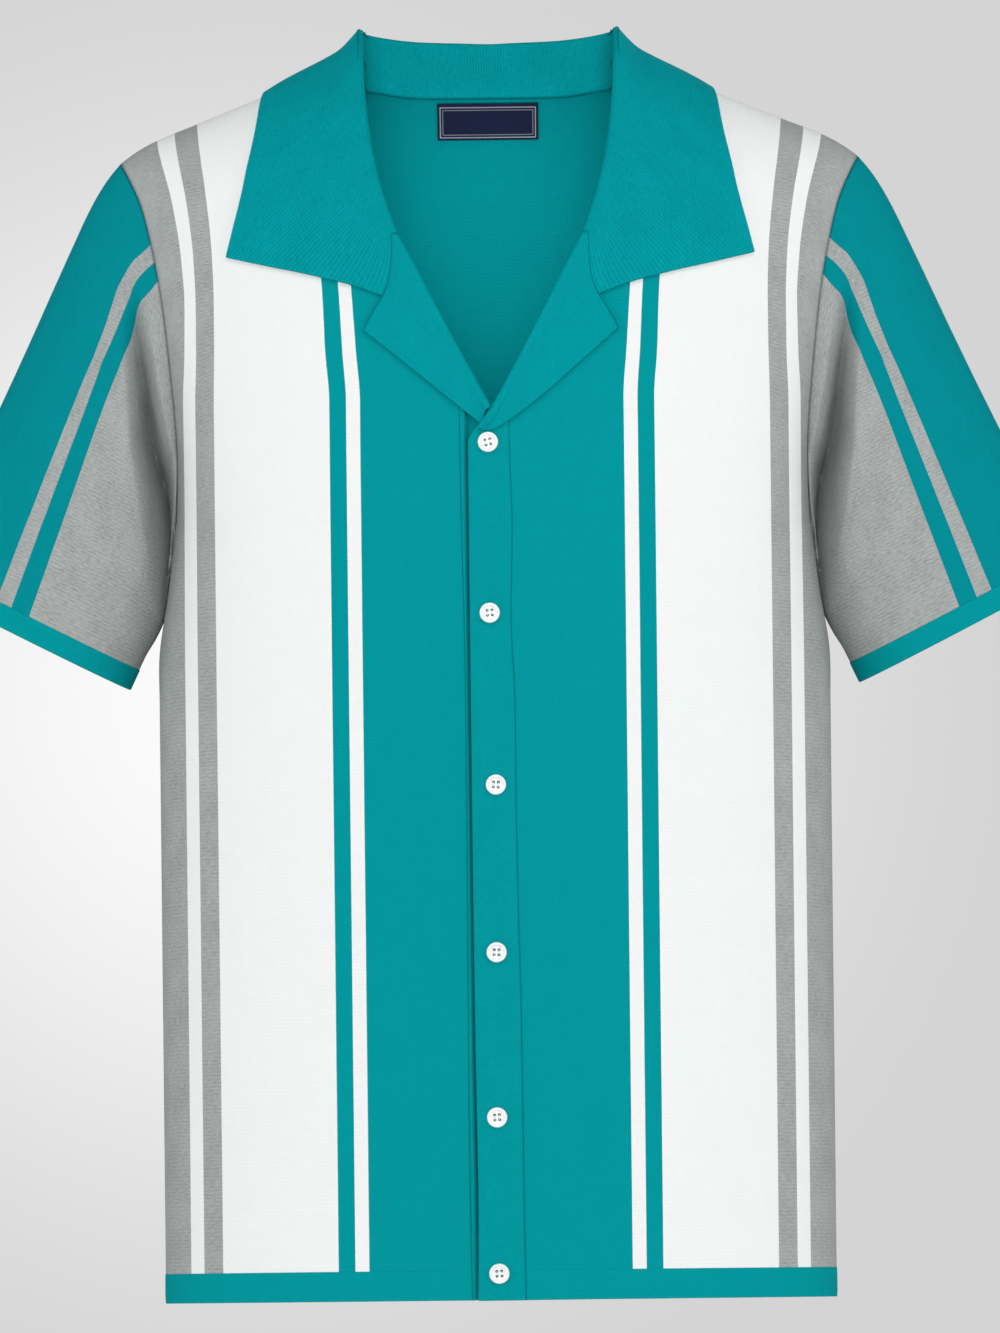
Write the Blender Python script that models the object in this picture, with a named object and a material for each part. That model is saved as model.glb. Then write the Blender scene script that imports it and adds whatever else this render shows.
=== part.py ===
"""Short-sleeved knitted polo shirt with a camp collar, filled out as if worn, hollow inside.

Metres, +Z up.  +X is the right-hand side seen from the front, and the front faces -Y.
The origin is the middle of the neck opening.  Each cut and sewn piece is one closed wall:
its outer face is a grid of points worked out from the sizes below, its inner face is that
grid moved in by the wall thickness, and pieces that meet at a seam stay GAP apart.
"""
import math

import bmesh
import bpy
import numpy as np

# ---- driving dimensions -------------------------------------------------------------
GAP = 0.0003               # space between pieces that meet
KNIT = 0.0016              # wall of the body, sleeves and placket bands
RIB = 0.0018               # wall of the collar and lapels
NECK_HALF = 0.0725         # half width of the neck opening at its seam
NECK_DROP = 0.0195         # how far the back neck seam dips below the shoulder ridge
RIDGE_TOP = 0.0108         # height of the shoulder ridge beside the neck
SLOPE_START_X = 0.0740     # where the shoulder line starts to fall
SHOULDER_SLOPE = 0.40      # its fall for each metre outwards
SHOULDER_X = 0.211         # shoulder point, where the sleeve starts
SHOULDER_ROUND_X = 0.188   # the line rounds off from here to the shoulder point
SHOULDER_ROUND_DROP = 0.0045
UNDERARM_Z = -0.261
ARMHOLE_HALF_DEPTH = 0.050
SECTION_POWER = 2.4        # superellipse power of the horizontal sections
FRONT_RIDGE_REACH = 0.25   # height over which the front rounds up to the ridge
BACK_RIDGE_REACH = 0.14
HEM_Z = -0.702             # bottom of the hem at the side seams
HEM_DIP = 0.010            # how much higher the hem is at centre front and centre back
HEM_BAND = 0.0165
CUFF_BAND = 0.0128
BAND_FREE_X = -0.0137      # free edge of the top placket band
BAND_SEAM_X = 0.0115       # seam of the top band to its front
UNDER_BAND_X = -0.0185     # seam of the under band to its front
UNDER_BAND_END_X = 0.0055
LAP = KNIT + GAP           # how far the lapping front stands above the under front
LAP_FADE_X = 0.050
BUTTON_DIAMETER = 0.0115
BUTTON_HEIGHT = 0.0026
SLOPE_START_ROUND = 0.006  # how softly the shoulder line starts to fall
ROLL_TUCK = 0.0012         # how far a front's edge stays out from the lapel's roll line

# Half width of the body below the underarm, and its depth to front and back.  "easy" is
# the half width that the section would have without the hollow under the arm.
BODY_ROWS = [
    {"z": -0.720, "half_width": 0.1922, "easy": 0.1922, "front": 0.1120, "back": 0.1070},
    {"z": -0.550, "half_width": 0.1922, "easy": 0.1922, "front": 0.1130, "back": 0.1060},
    {"z": -0.400, "half_width": 0.1922, "easy": 0.1922, "front": 0.1160, "back": 0.1060},
    {"z": -0.345, "half_width": 0.1922, "easy": 0.1924, "front": 0.1170, "back": 0.1065},
    {"z": -0.330, "half_width": 0.1919, "easy": 0.1928, "front": 0.1172, "back": 0.1068},
    {"z": -0.318, "half_width": 0.1904, "easy": 0.1930, "front": 0.1174, "back": 0.1070},
    {"z": -0.300, "half_width": 0.1872, "easy": 0.1933, "front": 0.1176, "back": 0.1074},
    {"z": -0.278, "half_width": 0.1843, "easy": 0.1940, "front": 0.1179, "back": 0.1078},
    {"z": -0.261, "half_width": 0.1823, "easy": 0.1948, "front": 0.1180, "back": 0.1080},
    {"z": -0.200, "half_width": 0.1823, "easy": 0.1978, "front": 0.1180, "back": 0.1080},
    {"z": -0.150, "half_width": 0.1823, "easy": 0.2030, "front": 0.1180, "back": 0.1080},
    {"z": -0.100, "half_width": 0.1823, "easy": 0.2140, "front": 0.1180, "back": 0.1080},
    {"z": -0.070, "half_width": 0.1823, "easy": 0.2250, "front": 0.1180, "back": 0.1080},
    {"z": -0.0525, "half_width": 0.1823, "easy": 0.2500, "front": 0.1180, "back": 0.1080},
    {"z": 0.0200, "half_width": 0.1823, "easy": 0.2550, "front": 0.1180, "back": 0.1080},
]
SIDE_PULL = 8              # how closely the hollow under the arm keeps to the side
HEM_RISE_TOP = -0.45       # the rows start to follow the hem's dip below this level
HEM_RISE_REACH = 0.22

# Armhole seam seen from the front.
ARMHOLE_ROWS = [
    {"z": -0.2610, "x": 0.1823},
    {"z": -0.2490, "x": 0.1804},
    {"z": -0.2330, "x": 0.1791},
    {"z": -0.2150, "x": 0.1788},
    {"z": -0.1710, "x": 0.1819},
    {"z": -0.1240, "x": 0.1873},
    {"z": -0.0740, "x": 0.1985},
    {"z": -0.0485, "x": 0.2110},
]

# Sleeve sections from the armhole to the end: top and low point, and half depth.
SLEEVE_ROWS = [
    {"t": 0.00, "top_x": 0.2110, "top_z": -0.0485, "low_x": 0.1823, "low_z": -0.2610, "depth": 0.0500},
    {"t": 0.06, "top_x": 0.2195, "top_z": -0.0590, "low_x": 0.1841, "low_z": -0.2670, "depth": 0.0510},
    {"t": 0.14, "top_x": 0.2280, "top_z": -0.0730, "low_x": 0.1852, "low_z": -0.2740, "depth": 0.0515},
    {"t": 0.30, "top_x": 0.2440, "top_z": -0.1065, "low_x": 0.1870, "low_z": -0.2860, "depth": 0.0505},
    {"t": 0.55, "top_x": 0.2715, "top_z": -0.1660, "low_x": 0.1906, "low_z": -0.3100, "depth": 0.0480},
    {"t": 0.80, "top_x": 0.3040, "top_z": -0.2330, "low_x": 0.2004, "low_z": -0.3320, "depth": 0.0445},
    {"t": 1.00, "top_x": 0.3310, "top_z": -0.2877, "low_x": 0.2091, "low_z": -0.3502, "depth": 0.0420},
]

# Roll line of a lapel from the gorge seam down to the V, seen from the front.
ROLL_ROWS = [
    {"x": 0.0716, "z": 0.0120},
    {"x": 0.0709, "z": 0.0049},
    {"x": 0.0684, "z": -0.0244},
    {"x": 0.0645, "z": -0.0522},
    {"x": 0.0577, "z": -0.0786},
    {"x": 0.0511, "z": -0.0971},
    {"x": 0.0425, "z": -0.1138},
    {"x": 0.0268, "z": -0.1446},
    {"x": 0.0164, "z": -0.1644},
    {"x": 0.0000, "z": -0.1946},
]

# Gorge seam between collar and lapel, from the roll to the notch, and the lapel's corner.
GORGE_ROWS = [
    {"f": 0.00, "x": 0.0511, "z": -0.0971},
    {"f": 0.45, "x": 0.0534, "z": -0.1156},
    {"f": 0.78, "x": 0.0563, "z": -0.1282},
    {"f": 1.00, "x": 0.0603, "z": -0.1374},
]
LAPEL_CORNER = {"x": 0.0712, "z": -0.1505}

# Top ends of the placket bands, cut along the lapels' roll lines.
TOP_BAND_END_ROWS = [
    {"x": -0.0137, "z": -0.2135},
    {"x": -0.0110, "z": -0.2089},
    {"x": -0.0056, "z": -0.2021},
    {"x": 0.0000, "z": -0.1946},
    {"x": 0.0115, "z": -0.1765},
]
UNDER_BAND_END_ROWS = [
    {"x": -0.0185, "z": -0.1606},
    {"x": -0.0100, "z": -0.1768},
    {"x": 0.0000, "z": -0.1965},
    {"x": 0.0055, "z": -0.2020},
]

# Collar, from the gorge (u 0) to the centre back (u 1): where its roll runs.
COLLAR_ROLL_ROWS = [
    {"u": 0.00, "x": 0.0511, "y": -0.1001, "z": -0.0971},
    {"u": 0.08, "x": 0.0577, "y": -0.0930, "z": -0.0786},
    {"u": 0.16, "x": 0.0622, "y": -0.0853, "z": -0.0620},
    {"u": 0.24, "x": 0.0655, "y": -0.0761, "z": -0.0450},
    {"u": 0.34, "x": 0.0688, "y": -0.0612, "z": -0.0190},
    {"u": 0.44, "x": 0.0708, "y": -0.0412, "z": 0.0075},
    {"u": 0.54, "x": 0.0717, "y": -0.0060, "z": 0.0258},
    {"u": 0.66, "x": 0.0716, "y": 0.0250, "z": 0.0272},
    {"u": 0.76, "x": 0.0640, "y": 0.0470, "z": 0.0262},
    {"u": 0.86, "x": 0.0400, "y": 0.0565, "z": 0.0238},
    {"u": 1.00, "x": 0.0000, "y": 0.0590, "z": 0.0228},
]
# Neck seam below the collar on the front, from the gorge up to the shoulder ridge.
COLLAR_SEAM_ROWS = [
    {"u": 0.00, "x": 0.0523, "z": -0.0971},
    {"u": 0.08, "x": 0.0589, "z": -0.0786},
    {"u": 0.16, "x": 0.0634, "z": -0.0625},
    {"u": 0.24, "x": 0.0667, "z": -0.0465},
    {"u": 0.34, "x": 0.0698, "z": -0.0245},
    {"u": 0.44, "x": 0.0718, "z": -0.0035},
    {"u": 0.54, "x": 0.0725, "z": 0.0100},
]
COLLAR_FRONT_EDGE_ROWS = [
    {"u": 0.00, "x": 0.0606, "y": -0.1010, "z": -0.1372},
    {"u": 0.08, "x": 0.0935, "y": -0.0960, "z": -0.1232},
    {"u": 0.16, "x": 0.1225, "y": -0.0880, "z": -0.1118},
    {"u": 0.24, "x": 0.1488, "y": -0.0750, "z": -0.1051},
]
COLLAR_OUTER_EDGE_ROWS = [
    {"u": 0.24, "x": 0.1488, "y": -0.0750, "z": -0.1051},
    {"u": 0.34, "x": 0.1395, "y": -0.0640, "z": -0.0725},
    {"u": 0.44, "x": 0.1325, "y": -0.0450, "z": -0.0420},
    {"u": 0.54, "x": 0.1287, "y": -0.0120, "z": -0.0150},
    {"u": 0.66, "x": 0.1210, "y": 0.0420, "z": -0.0200},
    {"u": 0.76, "x": 0.1010, "y": 0.0700, "z": -0.0340},
    {"u": 0.86, "x": 0.0620, "y": 0.0830, "z": -0.0390},
    {"u": 1.00, "x": 0.0000, "y": 0.0860, "z": -0.0395},
]

# Buttons down the top band.
BUTTON_ROWS = [
    {"x": -0.0024, "z": -0.2143},
    {"x": -0.0024, "z": -0.3090},
    {"x": 0.0000, "z": -0.4045},
    {"x": -0.0006, "z": -0.4978},
    {"x": -0.0013, "z": -0.5898},
    {"x": -0.0010, "z": -0.6768},
]

COLOURS = {
    "teal": (0.0010, 0.3250, 0.3540),
    "collar": (0.0010, 0.2870, 0.3230),
    "white": (0.9050, 0.9220, 0.9220),
    "grey": (0.3130, 0.3420, 0.3420),
    "navy": (0.0180, 0.0220, 0.0620),
    "button": (0.8800, 0.8900, 0.8900),
}


# ---- numbers to curves ---------------------------------------------------------------
def table(rows, column, at, key="z"):
    """Smooth curve through a table: cubic Hermite pieces that don't overshoot a row."""
    ordered = sorted(rows, key=lambda row: row[key])
    knots = np.array([row[key] for row in ordered])
    values = np.array([row[column] for row in ordered])
    steps = np.diff(knots)
    rates = np.diff(values) / steps
    slopes = np.empty(len(knots))
    slopes[0] = rates[0]
    slopes[-1] = rates[-1]
    before = rates[:-1]
    after = rates[1:]
    same = before * after > 0
    total = np.where(same, before + after, 1.0)
    slopes[1:-1] = np.where(same, 2 * before * after / total, 0.0)
    at = np.clip(np.asarray(at, dtype=float), knots[0], knots[-1])
    i = np.clip(np.searchsorted(knots, at) - 1, 0, len(knots) - 2)
    f = (at - knots[i]) / steps[i]
    start = (1 + 2 * f) * (1 - f) ** 2 * values[i] + f * (1 - f) ** 2 * steps[i] * slopes[i]
    end = f * f * (3 - 2 * f) * values[i + 1] + f * f * (f - 1) * steps[i] * slopes[i + 1]
    return start + end


def smooth_step(f):
    """0 below 0, 1 above 1, and an S curve between."""
    f = np.clip(f, 0.0, 1.0)
    return f * f * (3 - 2 * f)


def unit(vectors):
    """Vectors of the same directions and length 1."""
    return vectors / np.maximum(np.linalg.norm(vectors, axis=-1, keepdims=True), 1e-12)


def stack(x, y, z):
    """One array of points from three arrays of coordinates."""
    return np.stack(np.broadcast_arrays(x, y, z), axis=-1).astype(float)


# ---- the body's surface --------------------------------------------------------------
FACE_SIGN = {"front": -1.0, "back": 1.0}
RIDGE_REACH = {"front": FRONT_RIDGE_REACH, "back": BACK_RIDGE_REACH}


def ridge_z(x):
    """Height of the shoulder line: level over the neck, then falling and rounding off."""
    beyond = np.abs(x) - SLOPE_START_X
    run = 0.5 * (beyond + np.sqrt(beyond ** 2 + SLOPE_START_ROUND ** 2))
    rounding = np.maximum(np.abs(x) - SHOULDER_ROUND_X, 0.0) / (SHOULDER_X - SHOULDER_ROUND_X)
    return RIDGE_TOP - SHOULDER_SLOPE * run - SHOULDER_ROUND_DROP * rounding ** 2


def rise_share(face, below):
    """Share of the full depth at a distance below the ridge: a quarter ellipse."""
    reach = RIDGE_REACH[face]
    left = 1.0 - np.clip(below, 0.0, reach) / reach
    return np.sqrt(np.maximum(1.0 - left ** 2, 0.0))


def armhole_heights(turn):
    """Height on the armhole seam at a turn of 0 at the shoulder to pi at the underarm."""
    top = float(ridge_z(SHOULDER_X))
    return (top + UNDERARM_Z) / 2 + (top - UNDERARM_Z) / 2 * np.cos(turn)


def section_edge(face, z):
    """x where a section ends, at the side or the armhole, and its share of the ellipse."""
    top = float(ridge_z(SHOULDER_X))
    level = np.clip(z, UNDERARM_Z, top - 0.004)
    seam_x = table(ARMHOLE_ROWS, "x", level)
    swing = np.clip((level - (top + UNDERARM_Z) / 2) / ((top - UNDERARM_Z) / 2), -1.0, 1.0)
    seam_y = ARMHOLE_HALF_DEPTH * np.sqrt(1.0 - swing ** 2)
    reach = table(BODY_ROWS, face, level) * rise_share(face, ridge_z(seam_x) - level)
    share = np.clip(seam_y / reach, 0.0, 0.92) ** SECTION_POWER
    seam_share = (1.0 - share) ** (1.0 / SECTION_POWER)
    above = z > UNDERARM_Z
    edge_x = np.where(above, seam_x, table(BODY_ROWS, "half_width", z))
    return edge_x, np.where(above, seam_share, 1.0)


def section_depth(face, x, z):
    """Depth of the horizontal section at x: a superellipse, drawn in under the arm."""
    edge_x, edge_share = section_edge(face, z)
    easy = table(BODY_ROWS, "easy", z)
    pull = edge_share * easy / edge_x - 1.0
    x = np.abs(x)
    share = x / easy * (1.0 + pull * np.minimum(x / edge_x, 1.1) ** SIDE_PULL)
    across = np.clip(share, 0.0, 1.0) ** SECTION_POWER
    return table(BODY_ROWS, face, z) * (1.0 - across) ** (1.0 / SECTION_POWER)


def body_y(face, x, z):
    """y of the body's outer face over a point of the front view."""
    return FACE_SIGN[face] * section_depth(face, x, z) * rise_share(face, ridge_z(x) - z)


def on_body(face, x, z, lift=0.0):
    """Points over the front view's x and z, moved out from the body's face by lift."""
    step = 0.0005
    x, z = np.broadcast_arrays(np.asarray(x, float), np.asarray(z, float))
    slope_x = (body_y(face, x + step, z) - body_y(face, x - step, z)) / (2 * step)
    slope_z = (body_y(face, x, z + step) - body_y(face, x, z - step)) / (2 * step)
    sign = FACE_SIGN[face]
    normal = unit(stack(-sign * slope_x, sign * np.ones_like(x), -sign * slope_z))
    return stack(x, body_y(face, x, z), z) + normal * np.asarray(lift)[..., None], normal


def body_normal(face, x, z):
    """Outward direction of the body's face, also right at the shoulder and side seams."""
    step = 0.0002
    edge_x, edge_share = section_edge(face, z)
    limit = np.where(edge_share < 1.0, edge_x, 0.9995 * edge_x)
    inside = np.clip(x, -limit, limit)
    depth = section_depth(face, inside, z)
    depth_x = section_depth(face, inside + step / 4, z) - section_depth(face, inside - step / 4, z)
    depth_x = depth_x * 2 / step
    depth_z = section_depth(face, inside, z + step) - section_depth(face, inside, z - step)
    depth_z = depth_z / (2 * step)
    ridge_x = (ridge_z(inside + step) - ridge_z(inside - step)) / (2 * step)
    reach = RIDGE_REACH[face]
    left = 1.0 - np.clip(ridge_z(inside) - z, 0.0, reach) / reach
    share = 1.0 - left ** 2
    up = left / reach
    return unit(stack(-up * ridge_x - share * depth_x / depth,
                      FACE_SIGN[face] * np.sqrt(share) / depth,
                      up - share * depth_z / depth))


def clear_of_body(points, clearance, exactly=False):
    """Push points out of the body's section at their own x, to a clearance or beyond."""
    x, y, z = points[..., 0], points[..., 1], points[..., 2]
    face_front = y < 0
    reach = np.where(face_front, FRONT_RIDGE_REACH, BACK_RIDGE_REACH)
    centre = ridge_z(x) - reach
    up = z - centre
    height = np.where(up > 0, z, centre)
    depth = np.where(face_front, section_depth("front", x, height), section_depth("back", x, height))
    wide = depth + clearance
    tall = reach + clearance
    size = np.sqrt((y / wide) ** 2 + (np.maximum(up, 0.0) / tall) ** 2)
    growth = 1.0 / np.maximum(size, 1e-9)
    if not exactly:
        growth = np.maximum(growth, 1.0)
    moved_z = np.where(up > 0, centre + up * growth, z)
    return stack(x, y * growth, moved_z)


# ---- walls ---------------------------------------------------------------------------
def grid_normals(grid, closed=False):
    """Unit normals of a grid of points, from its two families of lines."""
    if closed:
        along = np.roll(grid, -1, axis=0) - np.roll(grid, 1, axis=0)
    else:
        along = np.gradient(grid, axis=0)
    across = np.gradient(grid, axis=1)
    return unit(np.cross(along, across))


def toward(normals, reference):
    """The normals, all turned over if they point against the reference."""
    if float(np.sum(normals * reference)) < 0:
        return -normals
    return normals


def quads(number):
    """Four point numbers for each cell of a grid of numbers."""
    corners = [number[:-1, :-1], number[1:, :-1], number[1:, 1:], number[:-1, 1:]]
    return np.stack(corners, axis=-1).reshape(-1, 4)


def wall(name, colour, grid, thickness, normals, closed=False):
    """A closed wall: the grid is its outer face, and its inner face is moved in."""
    inner = grid - normals * thickness
    rows, columns = grid.shape[:2]
    points = np.concatenate([grid.reshape(-1, 3), inner.reshape(-1, 3)])
    number = np.arange(rows * columns).reshape(rows, columns)
    far = number + rows * columns
    if closed:
        number = np.concatenate([number, number[:1]])
        far = np.concatenate([far, far[:1]])

    faces = [quads(number), quads(far)[:, ::-1]]
    rims = [(number[:, -1], far[:, -1]), (far[:, 0], number[:, 0])]
    if not closed:
        rims += [(far[-1, :], number[-1, :]), (number[0, :], far[0, :])]
    for near_line, far_line in rims:
        faces.append(np.stack([near_line[:-1], near_line[1:], far_line[1:], far_line[:-1]], -1))
    return solid(name, colour, points, np.concatenate(faces))


def solid(name, colour, points, faces):
    """A mesh object whose faces point out."""
    mesh = bpy.data.meshes.new(name)
    mesh.from_pydata(points.tolist(), [], [list(face) for face in faces])
    shape = bmesh.new()
    shape.from_mesh(mesh)
    if shape.calc_volume(signed=True) < 0:
        bmesh.ops.reverse_faces(shape, faces=shape.faces)
    shape.to_mesh(mesh)
    shape.free()
    mesh.shade_smooth()
    mesh.set_sharp_from_angle(angle=math.radians(40))
    mesh.materials.append(material(colour))
    made = bpy.data.objects.new(name, mesh)
    bpy.context.scene.collection.objects.link(made)
    return made


def material(colour):
    """One plain material for each colour of the shirt."""
    if colour in bpy.data.materials:
        return bpy.data.materials[colour]
    made = bpy.data.materials.new(colour)
    made.use_nodes = True
    shader = made.node_tree.nodes["Principled BSDF"]
    shader.inputs["Base Color"].default_value = (*COLOURS[colour], 1.0)
    shader.inputs["Roughness"].default_value = 0.35 if colour == "button" else 0.9
    shader.inputs["Metallic"].default_value = 0.0
    return made


# ---- fronts, back and hem --------------------------------------------------------------
ARMHOLE_STEPS = 13
FRONT_COLUMNS = 12
BACK_NECK_COLUMNS = 9
BACK_SHOULDER_COLUMNS = 6
BODY_ROWS_BELOW = [-0.278, -0.300, -0.330, -0.360, -0.400, -0.450, -0.500, -0.550, -0.600, -0.645]
TILT_REACH = 0.30          # distance below the ridge over which rows turn level
NECK_REACH = 0.12
LAYOUT_REACH = 0.20


def hem_lift(face, x, z):
    """How much higher the hem is away from the side seams."""
    return HEM_DIP * np.abs(body_y(face, x, z)) / table(BODY_ROWS, face, z)


def row_levels():
    """Levels of the panel rows and, for rows that end at the armhole, their end points."""
    turn = np.linspace(0.0, math.pi, ARMHOLE_STEPS + 1)
    end_z = armhole_heights(turn)
    end_x = table(ARMHOLE_ROWS, "x", end_z)
    drop = RIDGE_TOP - ridge_z(end_x)
    level = end_z + drop
    for _ in range(30):
        level = end_z + tilt_share(level) * drop
    below = np.array(BODY_ROWS_BELOW + [HEM_Z + HEM_BAND + GAP])
    levels = np.concatenate([level, below])
    ends_z = np.concatenate([end_z, below])
    ends_x = np.concatenate([end_x, np.full(len(below), np.nan)])
    return levels, ends_x, ends_z


def tilt_share(level):
    """1 for rows along the sloping shoulder, falling to 0 for level rows."""
    return 1.0 - smooth_step((RIDGE_TOP - level) / TILT_REACH)


def neck_dip(x):
    """How far the back neck seam lies below the ridge line."""
    inside = np.clip(np.abs(x) / NECK_HALF, 0.0, 1.0)
    return NECK_DROP * (1.0 - inside ** 6) ** 0.4


def section_share(x, full):
    """Share s for which x = full (2 s - s s), which spaces points well round the side."""
    return 1.0 - np.sqrt(np.maximum(1.0 - np.abs(x) / full, 0.0))


def front_inner_edge(level, band_x):
    """x of a front's inner edge: the placket seam, and above it the lapel's roll."""
    roll_x = table(ROLL_ROWS, "x", level) + ROLL_TUCK
    return np.maximum(np.where(level > ROLL_ROWS[-1]["z"], roll_x, 0.0), band_x + GAP)


def lapping_lift(x):
    """How far the lapping front stands out over the under front."""
    return LAP * (1.0 - smooth_step((x - BAND_SEAM_X) / (LAP_FADE_X - BAND_SEAM_X)))


def front_grid(band_x, lapping):
    """Grid of a front on the +X side, rows from the shoulder to the hem band."""
    levels, ends_x, ends_z = row_levels()
    out_x, out_share = section_edge("front", ends_z)
    out_x = np.where(np.isnan(ends_x), out_x, ends_x)
    full = out_x / out_share
    share_in = section_share(front_inner_edge(levels, band_x), full)
    share_out = section_share(out_x, full)
    across = np.linspace(0.0, 1.0, FRONT_COLUMNS + 1)
    share = share_in[:, None] + (share_out - share_in)[:, None] * across
    x = full[:, None] * (2 * share - share ** 2)
    return panel_points("front", levels, x, lapping)


def panel_points(face, levels, x, lapping=False, neck=False):
    """Points of a panel for the x of each row, with its rows tilted to the shoulder."""
    level = levels[:, None]
    z = level - tilt_share(level) * (RIDGE_TOP - ridge_z(x))
    if neck:
        z = z - (1.0 - smooth_step((RIDGE_TOP - level) / NECK_REACH)) * neck_dip(x)
    low = smooth_step((HEM_RISE_TOP - level) / HEM_RISE_REACH)
    z = z + low * hem_lift(face, x, z)
    y = body_y(face, x, z) + FACE_SIGN[face] * GAP / 2
    if lapping:
        y = y - lapping_lift(x)
    return stack(x, y, z)


def back_grid():
    """Grid of the back, from one armhole or side seam to the other."""
    levels, ends_x, ends_z = row_levels()
    out_x, out_share = section_edge("back", ends_z)
    out_x = np.where(np.isnan(ends_x), out_x, ends_x)
    full = out_x / out_share
    count = BACK_NECK_COLUMNS + BACK_SHOULDER_COLUMNS
    share = section_share(out_x, full)[:, None] * np.arange(count + 1) / count
    even_x = full[:, None] * (2 * share - share ** 2)
    neck_x = NECK_HALF * np.sin(math.pi / 2 * np.arange(BACK_NECK_COLUMNS + 1) / BACK_NECK_COLUMNS)
    outer = np.arange(1, BACK_SHOULDER_COLUMNS + 1) / BACK_SHOULDER_COLUMNS
    shoulder_x = NECK_HALF + (out_x[:, None] - NECK_HALF) * outer
    top_x = np.concatenate([np.repeat(neck_x[None], len(levels), axis=0), shoulder_x], axis=1)
    blend = smooth_step((RIDGE_TOP - levels) / LAYOUT_REACH)[:, None]
    half = top_x * (1 - blend) + even_x * blend
    x = np.concatenate([-half[:, :0:-1], half], axis=1)
    return panel_points("back", levels, x, neck=True)


def hem_rows(edge):
    """Three rows of a hem band below a panel's last row."""
    top = edge - np.array([0.0, 0.0, GAP])
    steps = np.array([0.0, 0.5, 1.0])[:, None, None]
    return top[None] - steps * np.array([0.0, 0.0, HEM_BAND])


def mirrored(points):
    """The same points on the other side."""
    return points * np.array([-1.0, 1.0, 1.0])


def make_body():
    """Fronts, back and their hem bands.  Returns the armhole edges and their normals."""
    edges = {}
    for side, band_x, lapping in (("left", BAND_SEAM_X, True), ("right", -UNDER_BAND_X, False)):
        grid = front_grid(band_x, lapping)
        normals = body_normal("front", grid[..., 0], grid[..., 2])
        hem = hem_rows(grid[-1])
        hem_normals = np.repeat(normals[-1][None], 3, axis=0)
        edges[side] = (grid[:ARMHOLE_STEPS + 1, -1], normals[:ARMHOLE_STEPS + 1, -1])
        flip = mirrored if side == "right" else np.copy
        wall("front_" + side, "white", flip(grid), KNIT, flip(normals))
        wall("hem_" + side, "teal", flip(hem), KNIT, flip(hem_normals))
    grid = back_grid()
    normals = body_normal("back", grid[..., 0], grid[..., 2])
    edges["back"] = (grid[:ARMHOLE_STEPS + 1, -1], normals[:ARMHOLE_STEPS + 1, -1])
    wall("back", "white", grid, KNIT, normals)
    hem = hem_rows(grid[-1])
    wall("hem_back", "teal", hem, KNIT, np.repeat(normals[-1][None], 3, axis=0))
    return edges


# ---- placket bands ---------------------------------------------------------------------
def make_placket():
    """The two bands down the front: the top one laps over the under one."""
    share = np.linspace(0.0, 1.0, 25)[:, None]
    for name, left_x, right_x, ends, lift in (
            ("placket_left", BAND_FREE_X, BAND_SEAM_X, TOP_BAND_END_ROWS, LAP),
            ("placket_right", UNDER_BAND_X, UNDER_BAND_END_X, UNDER_BAND_END_ROWS, 0.0)):
        x = np.linspace(left_x, right_x, 6)[None, :]
        top = table(ends, "z", x, key="x")
        bottom = HEM_Z + HEM_DIP
        grid, normals = on_body("front", x, top + (bottom - top) * share, lift)
        wall(name, "teal", grid, KNIT, normals)


# ---- sleeves ---------------------------------------------------------------------------
SLEEVE_STEPS = [0.0, 0.045, 0.09, 0.14, 0.19, 0.25, 0.32, 0.42, 0.54, 0.67, 0.83, 1.0]
FIRST_T = 0.0018           # keeps the sleeve clear of the body at the armhole seam
FOLD_ROWS = [              # the fold under the arm: its valley seen from the front, and its depth
    {"z": -0.3000, "x": 0.1870, "depth": 0.0000},
    {"z": -0.2790, "x": 0.1860, "depth": 0.0035},
    {"z": -0.2600, "x": 0.1862, "depth": 0.0080},
    {"z": -0.2390, "x": 0.1888, "depth": 0.0100},
    {"z": -0.2107, "x": 0.1940, "depth": 0.0090},
    {"z": -0.1653, "x": 0.1979, "depth": 0.0055},
    {"z": -0.1427, "x": 0.1999, "depth": 0.0030},
    {"z": -0.1200, "x": 0.2015, "depth": 0.0000},
]
FOLD_HALF = 0.0070         # half width of the valley
FOLD_START_T = 0.06        # it starts beside the armhole seam
FOLD_CLEAR_Y = 0.020       # and fades out towards the seam under the arm
BACK_FOLD_SHARE = 0.8      # the same fold is a little shallower on the back
SEAM_FADE = 0.5            # the sections keep the armhole's shape up to this t
RIM_FROM = 0.45            # cosine of the turn above which the rim leans with the body's
RIM_SPREAD = 0.40


def sleeve_oval(turn, t):
    """The plain oval of a sleeve at t."""
    share = (1 + np.cos(turn)) / 2
    place = {name: table(SLEEVE_ROWS, name, t, key="t") for name in SLEEVE_ROWS[0]}
    x = place["low_x"] + (place["top_x"] - place["low_x"]) * share
    z = place["low_z"] + (place["top_z"] - place["low_z"]) * share
    return stack(x, -place["depth"] * np.sin(turn), z)


def sleeve_points(turn, t, front_edge, back_edge):
    """Sleeve surface: a drawn-in oval for each t, fitted to the armhole seam at t 0.

    turn runs from 0 at the top down the front to pi under the arm and on up the back.
    """
    seam = np.concatenate([front_edge, back_edge[-2:0:-1]])[:, None, :]
    fade = (1.0 - smooth_step(t / SEAM_FADE))[..., None]
    points = sleeve_oval(turn, t) + (seam - sleeve_oval(turn, 0.0)) * fade
    x, y, z = points[..., 0], points[..., 1], points[..., 2]
    off = (x - table(FOLD_ROWS, "x", z)) / FOLD_HALF
    valley = table(FOLD_ROWS, "depth", z) * np.exp(-off ** 2) * smooth_step(t / FOLD_START_T)
    valley = valley * np.where(y < 0, 1.0, BACK_FOLD_SHARE) * smooth_step(np.abs(y) / FOLD_CLEAR_Y)
    return stack(x, y - np.sign(y) * valley, z)


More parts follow.
